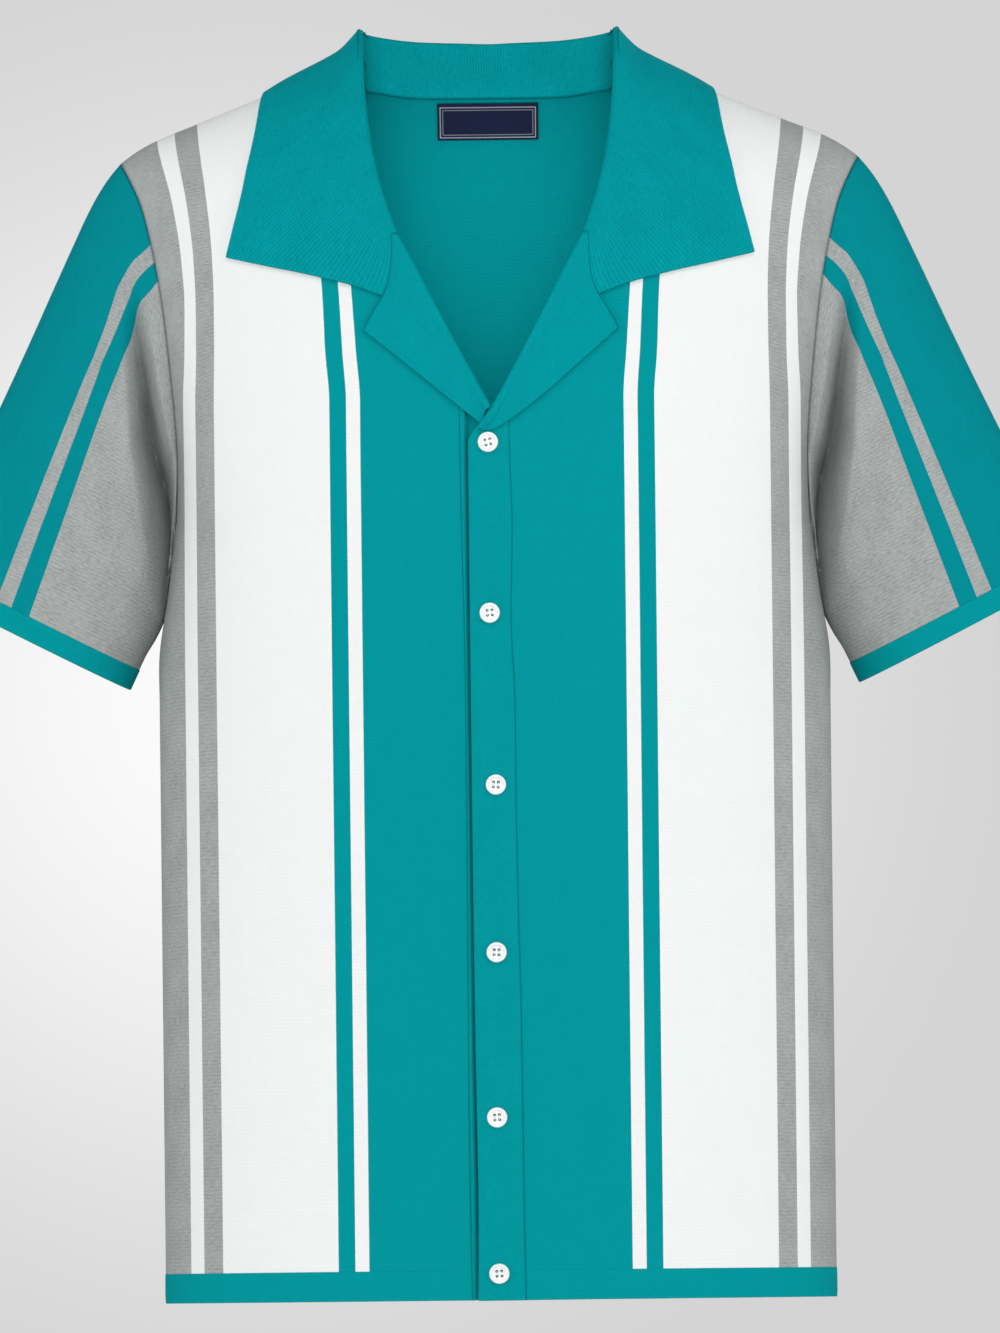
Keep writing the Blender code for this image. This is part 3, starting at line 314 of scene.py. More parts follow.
def on_body(face, x, z, lift=0.0):
    """Points over the front view's x and z, moved out from the body's face by lift."""
    step = 0.0005
    x, z = np.broadcast_arrays(np.asarray(x, float), np.asarray(z, float))
    slope_x = (body_y(face, x + step, z) - body_y(face, x - step, z)) / (2 * step)
    slope_z = (body_y(face, x, z + step) - body_y(face, x, z - step)) / (2 * step)
    sign = FACE_SIGN[face]
    normal = unit(stack(-sign * slope_x, sign * np.ones_like(x), -sign * slope_z))
    return stack(x, body_y(face, x, z), z) + normal * np.asarray(lift)[..., None], normal


def body_normal(face, x, z):
    """Outward direction of the body's face, also right at the shoulder and side seams."""
    step = 0.0002
    edge_x, edge_share = section_edge(face, z)
    limit = np.where(edge_share < 1.0, edge_x, 0.9995 * edge_x)
    inside = np.clip(x, -limit, limit)
    depth = section_depth(face, inside, z)
    depth_x = section_depth(face, inside + step / 4, z) - section_depth(face, inside - step / 4, z)
    depth_x = depth_x * 2 / step
    depth_z = section_depth(face, inside, z + step) - section_depth(face, inside, z - step)
    depth_z = depth_z / (2 * step)
    ridge_x = (ridge_z(inside + step) - ridge_z(inside - step)) / (2 * step)
    reach = RIDGE_REACH[face]
    left = 1.0 - np.clip(ridge_z(inside) - z, 0.0, reach) / reach
    share = 1.0 - left ** 2
    up = left / reach
    return unit(stack(-up * ridge_x - share * depth_x / depth,
                      FACE_SIGN[face] * np.sqrt(share) / depth,
                      up - share * depth_z / depth))


def clear_of_body(points, clearance, exactly=False):
    """Push points out of the body's section at their own x, to a clearance or beyond."""
    x, y, z = points[..., 0], points[..., 1], points[..., 2]
    face_front = y < 0
    reach = np.where(face_front, FRONT_RIDGE_REACH, BACK_RIDGE_REACH)
    centre = ridge_z(x) - reach
    up = z - centre
    height = np.where(up > 0, z, centre)
    depth = np.where(face_front, section_depth("front", x, height), section_depth("back", x, height))
    wide = depth + clearance
    tall = reach + clearance
    size = np.sqrt((y / wide) ** 2 + (np.maximum(up, 0.0) / tall) ** 2)
    growth = 1.0 / np.maximum(size, 1e-9)
    if not exactly:
        growth = np.maximum(growth, 1.0)
    moved_z = np.where(up > 0, centre + up * growth, z)
    return stack(x, y * growth, moved_z)


def grid_normals(grid, closed=False):
    """Unit normals of a grid of points, from its two families of lines."""
    if closed:
        along = np.roll(grid, -1, axis=0) - np.roll(grid, 1, axis=0)
    else:
        along = np.gradient(grid, axis=0)
    across = np.gradient(grid, axis=1)
    return unit(np.cross(along, across))


def toward(normals, reference):
    """The normals, all turned over if they point against the reference."""
    if float(np.sum(normals * reference)) < 0:
        return -normals
    return normals


# ---- fronts, back and hem --------------------------------------------------------------
ARMHOLE_STEPS = 13
FRONT_COLUMNS = 12
BACK_NECK_COLUMNS = 9
BACK_SHOULDER_COLUMNS = 6
BODY_ROWS_BELOW = [-0.278, -0.300, -0.330, -0.360, -0.400, -0.450, -0.500, -0.550, -0.600, -0.645]
TILT_REACH = 0.30          # distance below the ridge over which rows turn level
NECK_REACH = 0.12          # the same, for the dip of the back neck seam
LAYOUT_REACH = 0.20        # and for the columns' spacing on the back
NECK_SIDE_POWER = 6        # how square the neck seam's sides and how flat its bottom are
NECK_BOTTOM_POWER = 0.4
LEVEL_ROUNDS = 30          # rounds in which a tilted row finds its end on the armhole


def hem_lift(face, x, z):
    """How much higher the hem is away from the side seams."""
    return HEM_DIP * np.abs(body_y(face, x, z)) / table(BODY_ROWS, face, z)


def row_levels():
    """Levels of the panel rows and, for rows that end at the armhole, their end points."""
    turn = np.linspace(0.0, math.pi, ARMHOLE_STEPS + 1)
    end_z = armhole_heights(turn)
    end_x = table(ARMHOLE_ROWS, "x", end_z)
    drop = RIDGE_TOP - ridge_z(end_x)
    level = end_z + drop
    for _ in range(LEVEL_ROUNDS):
        level = end_z + tilt_share(level) * drop
    below = np.array(BODY_ROWS_BELOW + [HEM_Z + HEM_BAND + GAP])
    levels = np.concatenate([level, below])
    ends_z = np.concatenate([end_z, below])
    ends_x = np.concatenate([end_x, np.full(len(below), np.nan)])
    return levels, ends_x, ends_z


def tilt_share(level):
    """1 for rows along the sloping shoulder, falling to 0 for level rows."""
    return 1.0 - smooth_step((RIDGE_TOP - level) / TILT_REACH)


def neck_dip(x):
    """How far the back neck seam lies below the ridge line."""
    inside = np.clip(np.abs(x) / NECK_HALF, 0.0, 1.0)
    return NECK_DROP * (1.0 - inside ** NECK_SIDE_POWER) ** NECK_BOTTOM_POWER


def section_share(x, full):
    """Share s for which x = full (2 s - s s), which spaces points well round the side."""
    return 1.0 - np.sqrt(np.maximum(1.0 - np.abs(x) / full, 0.0))


def front_inner_edge(level, band_x):
    """x of a front's inner edge: the placket seam, and above it the lapel's roll."""
    roll_x = table(ROLL_ROWS, "x", level) + ROLL_TUCK
    return np.maximum(np.where(level > ROLL_ROWS[-1]["z"], roll_x, 0.0), band_x + GAP)


def lapping_lift(x):
    """How far the lapping front stands out over the under front."""
    return LAP * (1.0 - smooth_step((x - BAND_SEAM_X) / (LAP_FADE_X - BAND_SEAM_X)))


def front_grid(band_x, lapping):
    """Grid of a front on the +X side, rows from the shoulder to the hem band."""
    levels, ends_x, ends_z = row_levels()
    out_x, out_share = section_edge("front", ends_z)
    out_x = np.where(np.isnan(ends_x), out_x, ends_x)
    full = out_x / out_share
    share_in = section_share(front_inner_edge(levels, band_x), full)
    share_out = section_share(out_x, full)
    across = np.linspace(0.0, 1.0, FRONT_COLUMNS + 1)
    share = share_in[:, None] + (share_out - share_in)[:, None] * across
    x = full[:, None] * (2 * share - share ** 2)
    return panel_points("front", levels, x, lapping)


def panel_points(face, levels, x, lapping=False, neck=False):
    """Points of a panel for the x of each row, with its rows tilted to the shoulder."""
    level = levels[:, None]
    z = level - tilt_share(level) * (RIDGE_TOP - ridge_z(x))
    if neck:
        z = z - (1.0 - smooth_step((RIDGE_TOP - level) / NECK_REACH)) * neck_dip(x)
    low = smooth_step((HEM_RISE_TOP - level) / HEM_RISE_REACH)
    z = z + low * hem_lift(face, x, z)
    y = body_y(face, x, z) + FACE_SIGN[face] * GAP / 2
    if lapping:
        y = y - lapping_lift(x)
    return stack(x, y, z)


def back_grid():
    """Grid of the back, from one armhole or side seam to the other."""
    levels, ends_x, ends_z = row_levels()
    out_x, out_share = section_edge("back", ends_z)
    out_x = np.where(np.isnan(ends_x), out_x, ends_x)
    full = out_x / out_share
    count = BACK_NECK_COLUMNS + BACK_SHOULDER_COLUMNS
    share = section_share(out_x, full)[:, None] * np.arange(count + 1) / count
    even_x = full[:, None] * (2 * share - share ** 2)
    neck_x = NECK_HALF * np.sin(math.pi / 2 * np.arange(BACK_NECK_COLUMNS + 1) / BACK_NECK_COLUMNS)
    outer = np.arange(1, BACK_SHOULDER_COLUMNS + 1) / BACK_SHOULDER_COLUMNS
    shoulder_x = NECK_HALF + (out_x[:, None] - NECK_HALF) * outer
    top_x = np.concatenate([np.repeat(neck_x[None], len(levels), axis=0), shoulder_x], axis=1)
    blend = smooth_step((RIDGE_TOP - levels) / LAYOUT_REACH)[:, None]
    half = top_x * (1 - blend) + even_x * blend
    x = np.concatenate([-half[:, :0:-1], half], axis=1)
    return panel_points("back", levels, x, neck=True)


def mirrored(points):
    """The same points on the other side."""
    return points * np.array([-1.0, 1.0, 1.0])


# ---- sleeves ---------------------------------------------------------------------------
SLEEVE_STEPS = [0.0, 0.05, 0.11, 0.18, 0.27, 0.38, 0.50, 0.63, 0.77, 0.89, 1.0]
FIRST_T = 0.0014           # where the sleeve starts, beside the armhole seam
DIP_DEPTH = 0.0010         # a faint dip beside the armhole seam, under the arm
DIP_PLACE = 0.10           # t at its middle, and its half width in t
DIP_WIDTH = 0.055
DIP_FROM = 0.72            # how low on the section the dip starts, and how it spreads
DIP_SPREAD = 0.20
DIP_CLEAR = 0.35           # it fades out again towards the sleeve's lowest line
SEAM_FADE = 0.5            # the sections keep the armhole's shape up to this t


def sleeve_oval(turn, t):
    """The plain oval of a sleeve at t."""
    share = (1 + np.cos(turn)) / 2
    place = {name: table(SLEEVE_ROWS, name, t, key="t") for name in SLEEVE_ROWS[0]}
    x = place["low_x"] + (place["top_x"] - place["low_x"]) * share
    z = place["low_z"] + (place["top_z"] - place["low_z"]) * share
    return stack(x, -place["depth"] * np.sin(turn), z)


def sleeve_points(turn, t, front_edge, back_edge):
    """Sleeve surface: a drawn-in oval for each t, fitted to the armhole seam at t 0.

    turn runs from 0 at the top down the front to pi under the arm and on up the back.
    """
    seam = np.concatenate([front_edge, back_edge[-2:0:-1]])[:, None, :]
    fade = (1.0 - smooth_step(t / SEAM_FADE))[..., None]
    points = sleeve_oval(turn, t) + (seam - sleeve_oval(turn, 0.0)) * fade
    low_half = smooth_step((np.abs(np.sin(turn / 2)) - DIP_FROM) / DIP_SPREAD)
    under = low_half * smooth_step(np.abs(np.sin(turn)) / DIP_CLEAR)
    dip = DIP_DEPTH * under * np.exp(-((t - DIP_PLACE) / DIP_WIDTH) ** 2)
    points[..., 1] -= np.sign(points[..., 1]) * dip
    return points


def sleeve_band_start(turn, front_edge, back_edge):
    """The t at which the cuff band starts on each line down the sleeve."""
    step = 0.05
    end = sleeve_points(turn, np.array([[1.0]]), front_edge, back_edge)
    near = sleeve_points(turn, np.array([[1.0 - step]]), front_edge, back_edge)
    rate = step / np.linalg.norm(end - near, axis=-1)
    return 1.0 - CUFF_BAND * rate


# ---- collar and lapels -----------------------------------------------------------------
COLLAR_STATIONS = [0.0, 0.04, 0.08, 0.12, 0.16, 0.20, 0.24, 0.27, 0.305, 0.34, 0.37, 0.40,
                   0.43, 0.46, 0.49, 0.515, 0.54, 0.57, 0.60, 0.63, 0.66, 0.70, 0.74, 0.78,
                   0.82, 0.86, 0.91, 0.955, 1.0]
FALL_STEPS = [0.18, 0.36, 0.54, 0.70, 0.85, 1.0]
FALL_CLEARANCE = 0.0029
ROLL_LIFT = 0.0044         # height of the roll above the front that it lies on
ROLL_RADIUS = 0.0021
SEAM_LIFT = 3 * GAP        # how far the stand's foot is above the neck seam
BACK_ROLL_SIZE = 1.6       # the roll is fuller round the back of the neck, from this u
BACK_ROLL_FROM = 0.66
BACK_ROLL_SPREAD = 0.20
PEAK_THIN = 0.35           # and thinner at its highest point beside the neck
PEAK_U = 0.52
PEAK_WIDTH = 0.12
# The roll's columns past the stand: how far out and how far up from its line, in roll radii.
ROLL_COLUMNS = [(0.0, -0.67), (0.29, 0.0), (1.0, 0.29), (1.9, 0.1)]
SEATED_UNTIL = 0.22        # u up to which the collar's foot lies on the front
SEATED_FADE = 0.10
GORGE_FADE = 0.10
SEAM_FINE_STEPS = 400      # points at which the back neck seam's length is measured
ROLL_FINE_STEPS = 100      # and those of a lapel's roll line
FOOT_IN = 0.0024           # the stand's foot lies inside the back's neck edge, and overlaps it
FOOT_DROP = 0.0013         # how far it is below the neck's edge at least
FOOT_LEVEL = -0.0064       # height of the foot towards the shoulders, inside the neck
FOOT_FADE = 0.06
FOOT_CENTRE_Y = -0.03
SAG = 0.0058               # how far the fall sags between roll and edge over the shoulder
SAG_FROM = 0.36
SAG_SPREAD = 0.12
SAG_POWER = 0.65           # below 1 its lowest point is nearer to the roll


def rolled(seam, roll, out, rise, size):
    """Six columns of points: up the stand from the seam and round over the roll."""
    radius = ROLL_RADIUS * np.asarray(size)[..., None]
    columns = [seam, (seam + roll) / 2]
    columns += [roll + (out * side + rise * up) * radius for side, up in ROLL_COLUMNS]
    return np.stack(columns, axis=1)


def frames(seam, roll, edge):
    """Directions up the stand and out over the shoulder, square to the roll's line."""
    along = unit(np.gradient(roll, axis=0))
    rise = roll - seam
    rise = unit(rise - along * np.sum(rise * along, axis=-1, keepdims=True))
    out = unit(np.cross(along, rise))
    facing = np.sum(out * (edge - roll), axis=-1, keepdims=True)
    return np.where(facing < 0, -out, out), rise


def neck_seam_back(share):
    """Neck seam from the shoulder ridge (0) to the centre back (1), evenly spaced.

    It is first worked out at many turns of its curve, closer together at the centre back.
    """
    turn = math.pi / 2 * (1 - (1 - np.linspace(0.0, 1.0, SEAM_FINE_STEPS)) ** 4)
    x = NECK_HALF * np.maximum(np.cos(turn), 0.0) ** (2.0 / NECK_SIDE_POWER)
    z = ridge_z(x) - neck_dip(x)
    points = stack(x, body_y("back", x, z), z)
    run = np.concatenate([[0.0], np.cumsum(np.linalg.norm(np.diff(points, axis=0), axis=1))])
    at = share * run[-1]
    return np.stack([np.interp(at, run, points[:, i]) for i in range(3)], axis=-1)


def collar_half():
    """Grid of half the collar on the +X side, from the gorge to the centre back."""
    u = np.array(COLLAR_STATIONS)
    ridge_u = COLLAR_SEAM_ROWS[-1]["u"]
    seam_x = table(COLLAR_SEAM_ROWS, "x", u, key="u")
    seam_z = table(COLLAR_SEAM_ROWS, "z", u, key="u")
    front_seam = stack(seam_x, body_y("front", seam_x, seam_z), seam_z + SEAM_LIFT)
    back_seam = neck_seam_back(np.clip((u - ridge_u) / (1 - ridge_u), 0.0, 1.0))
    tucked = smooth_step((u - ridge_u) / FOOT_FADE)[:, None]
    inward = unit(stack(-back_seam[:, 0], FOOT_CENTRE_Y - back_seam[:, 1], 0.0))
    back_seam[:, 2] += SEAM_LIFT
    foot = back_seam + inward * FOOT_IN
    foot[:, 2] = np.minimum(back_seam[:, 2] - FOOT_DROP, FOOT_LEVEL)
    back_seam = back_seam + tucked * (foot - back_seam)
    seam = np.where((u < ridge_u)[:, None], front_seam, back_seam)
    roll = np.stack([table(COLLAR_ROLL_ROWS, axis, u, key="u") for axis in "xyz"], axis=-1)
    seated_roll, _ = on_body("front", roll[:, 0], roll[:, 2], ROLL_LIFT)
    seated, _ = on_body("front", seam_x, seam_z, GAP)
    near = (1.0 - smooth_step((u - SEATED_UNTIL) / SEATED_FADE))[:, None]
    roll = seated_roll * near + roll * (1 - near)
    seam = seated * near + seam * (1 - near)
    edge = collar_edge(u)
    out, rise = frames(seam, roll, edge)
    size = 1.0 + (BACK_ROLL_SIZE - 1.0) * smooth_step((u - BACK_ROLL_FROM) / BACK_ROLL_SPREAD)
    size = size - PEAK_THIN * np.exp(-((u - PEAK_U) / PEAK_WIDTH) ** 2)
    start = rolled(seam, roll, out, rise, size)
    steps = np.array(FALL_STEPS)[None, :, None]
    chord = start[:, -1:, :] + (edge[:, None, :] - start[:, -1:, :]) * steps
    chord = chord + gorge_bend(u)
    over = smooth_step((u - SAG_FROM) / SAG_SPREAD)[:, None, None]
    sag = SAG * over * np.sin(math.pi * steps ** SAG_POWER) * (1 - steps)
    chord = chord - sag * rise[:, None, :]
    return np.concatenate([start, clear_of_body(chord, FALL_CLEARANCE)], axis=1)


def gorge_bend(u):
    """Moves the fall's first rows from a straight line to the curve of the gorge seam."""
    steps = np.array(FALL_STEPS)
    x = table(GORGE_ROWS, "x", steps, key="f")
    z = table(GORGE_ROWS, "z", steps, key="f")
    straight_x = GORGE_ROWS[0]["x"] + (GORGE_ROWS[-1]["x"] - GORGE_ROWS[0]["x"]) * steps
    straight_z = GORGE_ROWS[0]["z"] + (GORGE_ROWS[-1]["z"] - GORGE_ROWS[0]["z"]) * steps
    bend = stack(x - straight_x, 0.0, z - straight_z)
    return bend[None] * (1.0 - smooth_step(u / GORGE_FADE))[:, None, None]


def collar_edge(u):
    """Outer edge of the collar: notch to tip, then over the shoulder to the back."""
    tip_u = COLLAR_FRONT_EDGE_ROWS[-1]["u"]
    parts = []
    for axis in "xyz":
        front = table(COLLAR_FRONT_EDGE_ROWS, axis, u, key="u")
        outer = table(COLLAR_OUTER_EDGE_ROWS, axis, u, key="u")
        parts.append(np.where(u <= tip_u, front, outer))
    return clear_of_body(np.stack(parts, axis=-1), FALL_CLEARANCE, exactly=True)


def lapel_roll(share, ends):
    """Front-view points down a lapel's roll line, evenly spaced from the gorge."""
    z = np.linspace(GORGE_ROWS[0]["z"], ROLL_ROWS[-1]["z"], ROLL_FINE_STEPS)
    x = table(ROLL_ROWS, "x", z)
    if ends:
        x = np.concatenate([x, [row["x"] for row in ends]])
        z = np.concatenate([z, [row["z"] for row in ends]])
    run = np.concatenate([[0.0], np.cumsum(np.hypot(np.diff(x), np.diff(z)))])
    at = share * run[-1]
    return np.interp(at, run, x), np.interp(at, run, z)


LAPEL_STEPS = 11
FLAT_FALL_STEPS = [0.13, 0.26, 0.39, 0.50, 0.61, 0.72, 0.86, 1.0]
CORNER_FADE = 0.30         # share of the roll over which the gorge's shape fades out
GORGE_SPACE = 0.0001       # space between collar and lapel along the gorge, which soon fades
GORGE_SPACE_POWER = 4
ROLL_COLUMN_COUNT = 2 + len(ROLL_COLUMNS)
TOP_LAPEL_ROLL_END = [{"x": -0.0082, "z": -0.2058}]
TOP_LAPEL_EDGE_ROWS = [
    {"f": 0.0, "x": 0.0712, "z": -0.1505},
    {"f": 0.8, "x": 0.0084, "z": -0.2030},
    {"f": 0.9, "x": 0.0010, "z": -0.2070},
    {"f": 1.0, "x": -0.0064, "z": -0.2083},
]
UNDER_LAPEL_EDGE_ROWS = [
    {"f": 0.0, "x": 0.0712, "z": -0.1505},
    {"f": 0.5, "x": 0.0400, "z": -0.1761},
    {"f": 1.0, "x": 0.0060, "z": -0.2042},
]


def lapel_grid(side, gorge):
    """Points of a lapel on the +X side: rolled outwards along its roll line onto the front."""
    top = side == "left"
    share = np.linspace(0.0, 1.0, LAPEL_STEPS)
    roll_x, roll_z = lapel_roll(share, TOP_LAPEL_ROLL_END if top else None)
    base = lapping_lift(roll_x) if top else np.zeros_like(roll_x)
    edge_rows = TOP_LAPEL_EDGE_ROWS if top else UNDER_LAPEL_EDGE_ROWS
    edge_x = table(edge_rows, "x", share, key="f")
    edge_z = table(edge_rows, "z", share, key="f")
    roll, normal = on_body("front", roll_x, roll_z, base + ROLL_LIFT)
    along = unit(np.gradient(roll, axis=0))
    out = unit(np.cross(along, normal))
    out = np.where(out[:, :1] < 0, -out, out)
    seam = roll + out * ROLL_TUCK - normal * (ROLL_LIFT - GAP)
    start = rolled(seam, roll, out, normal, np.ones_like(share))
    steps = np.array(FLAT_FALL_STEPS)
    across_x = start[:, -1, 0][:, None] + (edge_x - start[:, -1, 0])[:, None] * steps
    across_z = start[:, -1, 2][:, None] + (edge_z - start[:, -1, 2])[:, None] * steps
    corner = np.array([[LAPEL_CORNER["x"], LAPEL_CORNER["z"]]])
    notch = gorge[-1, [0, 2]][None]
    first = np.concatenate([gorge[ROLL_COLUMN_COUNT:, [0, 2]], (notch + corner) / 2, corner])
    near = (1.0 - smooth_step(share / CORNER_FADE))[:, None]
    across_x = across_x + near * (first[:, 0] - across_x[0])
    across_z = across_z + near * (first[:, 1] - across_z[0])
    flat_lift = FALL_CLEARANCE + (ROLL_LIFT - FALL_CLEARANCE) * (1 - steps) ** 2
    under = lapping_lift(across_x) if top else 0.0 * across_x
    fall, _ = on_body("front", across_x, across_z, under + flat_lift)
    grid = np.concatenate([start, fall], axis=1)
    grid[0, :len(gorge)] = gorge
    shift = unit(grid[1, 0] - grid[0, 0]) * GORGE_SPACE
    fade = (1.0 - share)[:, None, None] ** GORGE_SPACE_POWER
    return grid + shift * fade


# ---- stripes -------------------------------------------------------------------------
# x of the edges of the body's stripes at a height: they lean outwards to the shoulder.
STRIPE_ROWS = [
    {"z": -0.7200, "a": 0.0724, "b": 0.0807, "c": 0.0904, "d": 0.1560, "e": 0.1657, "f": 0.1749},
    {"z": -0.1900, "a": 0.0724, "b": 0.0807, "c": 0.0904, "d": 0.1560, "e": 0.1657, "f": 0.1743},
    {"z": -0.1620, "a": 0.0745, "b": 0.0825, "c": 0.0925, "d": 0.1556, "e": 0.1650, "f": 0.1731},
    {"z": -0.1340, "a": 0.0765, "b": 0.0840, "c": 0.0937, "d": 0.1556, "e": 0.1651, "f": 0.1727},
    {"z": -0.1060, "a": 0.0785, "b": 0.0860, "c": 0.0957, "d": 0.1566, "e": 0.1663, "f": 0.1747},
    {"z": -0.0740, "a": 0.0800, "b": 0.0880, "c": 0.0975, "d": 0.1598, "e": 0.1702, "f": 0.1800},
    {"z": -0.0450, "a": 0.0815, "b": 0.0900, "c": 0.1000, "d": 0.1640, "e": 0.1756, "f": 0.1879},
    {"z": 0.0200, "a": 0.0850, "b": 0.0940, "c": 0.1050, "d": 0.1730, "e": 0.1860, "f": 0.2030},
]
STRIPE_LETTERS = "abcdef"
SLEEVE_STRIPE_LETTERS = "pqr"
# The same for the sleeve's stripes: they run down from the shoulder and bend at the fold.
SLEEVE_STRIPE_ROWS = [
    {"z": -0.3466, "p": 0.2778, "q": 0.2894, "r": 0.3008},
    {"z": -0.3081, "p": 0.2635, "q": 0.2748, "r": 0.2853},
    {"z": -0.2447, "p": 0.2399, "q": 0.2506, "r": 0.2597},
    {"z": -0.1880, "p": 0.2189, "q": 0.2285, "r": 0.2364},
    {"z": -0.1597, "p": 0.2072, "q": 0.2180, "r": 0.2242},
    {"z": -0.1512, "p": 0.2039, "q": 0.2139, "r": 0.2207},
    {"z": -0.1438, "p": 0.2021, "q": 0.2105, "r": 0.2180},
    {"z": -0.1370, "p": 0.2009, "q": 0.2076, "r": 0.2155},
    {"z": -0.1313, "p": 0.1988, "q": 0.2053, "r": 0.2138},
    {"z": -0.1268, "p": 0.1948, "q": 0.2034, "r": 0.2124},
    {"z": -0.1228, "p": 0.1907, "q": 0.2022, "r": 0.2110},
    {"z": -0.1172, "p": 0.1864, "q": 0.1992, "r": 0.2081},
    {"z": -0.1115, "p": 0.1815, "q": 0.1931, "r": 0.2049},
    {"z": -0.1064, "p": 0.1766, "q": 0.1868, "r": 0.2013},
    {"z": -0.1007, "p": 0.1717, "q": 0.1797, "r": 0.1950},
    {"z": -0.0951, "p": 0.1666, "q": 0.1722, "r": 0.1892},
]
# Seam of the top placket band to its front: it wanders a little.
BAND_SEAM_ROWS = [
    {"z": -0.7150, "x": 0.0146},
    {"z": -0.6450, "x": 0.0136},
    {"z": -0.5350, "x": 0.0131},
    {"z": -0.4700, "x": 0.0120},
    {"z": -0.4100, "x": 0.0114},
    {"z": -0.3600, "x": 0.0114},
    {"z": -0.3120, "x": 0.0097},
    {"z": -0.2600, "x": 0.0108},
    {"z": -0.2100, "x": 0.0097},
    {"z": -0.1700, "x": 0.0110},
]
# Free edge of the top band, which gapes a little lower down.
FREE_EDGE_ROWS = [
    {"z": -0.7150, "x": -0.0132},
    {"z": -0.6350, "x": -0.0122},
    {"z": -0.5500, "x": -0.0129},
    {"z": -0.4000, "x": -0.0134},
    {"z": -0.1600, "x": -0.0135},
]
# Seam of the under band to its front.
UNDER_BAND_ROWS = [
    {"z": -0.7150, "x": -0.0165},
    {"z": -0.5800, "x": -0.0172},
    {"z": -0.4700, "x": -0.0168},
    {"z": -0.3520, "x": -0.0166},
    {"z": -0.2460, "x": -0.0180},
    {"z": -0.1600, "x": -0.0187},
]


def stripe_place(x, z, rows, letters):
    """Place across a piece's stripes: |x|, moved so that each edge is where the first row has it.

    The move changes straight from one edge to the next, and stays the same past the last.
    """
    x = np.abs(x)
    edges = [table(rows, letter, z) for letter in letters]
    moves = [rows[0][letter] - edge for letter, edge in zip(letters, edges)]
    move = moves[0] * np.clip(x / edges[0], 0.0, 1.0)
    for i in range(len(edges) - 1):
        share = np.clip((x - edges[i]) / (edges[i + 1] - edges[i]), 0.0, 1.0)
        move = move + share * (moves[i + 1] - moves[i])
    return x + move


# ---- grids and sheets ----------------------------------------------------------------
def finer(grid, times, axis=0, closed=False):
    """A smooth curve through the grid's rows, with `times` steps between two rows.

    Each step is a cubic that passes through the rows and leans as its neighbours do.
    """
    grid = np.moveaxis(grid, axis, 0)
    count = len(grid)
    if closed:
        padded = np.concatenate([grid[-1:], grid, grid[:2]])
        at = np.arange(count * times) / times
    else:
        padded = np.concatenate([2 * grid[:1] - grid[1:2], grid, 2 * grid[-1:] - grid[-2:-1]])
        at = np.arange((count - 1) * times + 1) / times
    i = np.minimum(at.astype(int), len(padded) - 4)
    f = (at - i).reshape((-1,) + (1,) * (grid.ndim - 1))
    before, start, end, after = (padded[i + k] for k in range(4))
    lean_start = (end - before) / 2
    lean_end = (after - start) / 2
    made = (start * (1 + 2 * f) * (1 - f) ** 2 + lean_start * f * (1 - f) ** 2
            + end * f * f * (3 - 2 * f) + lean_end * f * f * (f - 1))
    return np.moveaxis(made, 0, axis)


def run_along(grid, axis):
    """Distance walked along the grid's lines from their first point."""
    steps = np.linalg.norm(np.diff(grid, axis=axis), axis=-1)
    zero = np.zeros_like(np.take(steps, [0], axis=axis))
    return np.concatenate([zero, np.cumsum(steps, axis=axis)], axis=axis)


def quads(number):
    """Four point numbers for each cell of a grid of numbers."""
    corners = [number[:-1, :-1], number[1:, :-1], number[1:, 1:], number[:-1, 1:]]
    return np.stack(corners, axis=-1).reshape(-1, 4)


SHARP_EDGE = math.radians(50)      # edges bent by more than this stay sharp
LEAST_FILL = 0.31                  # smallest share of its flat rectangle to which a sheet's area is raised


def placed(name, mesh, finish, sharp=SHARP_EDGE):
    """An object for a finished mesh, smooth but for its sharp edges, in the scene."""
    mesh.shade_smooth()
    mesh.set_sharp_from_angle(angle=sharp)
    mesh.materials.append(finish)
    made = bpy.data.objects.new(name, mesh)
    bpy.context.scene.collection.objects.link(made)
    return made


def add_values(mesh, label, values):
    """One number at each point of a mesh, for its finish to read."""
    layer = mesh.attributes.new(label, "FLOAT", "POINT")
    layer.data.foreach_set("value", values.ravel().astype(np.float32))


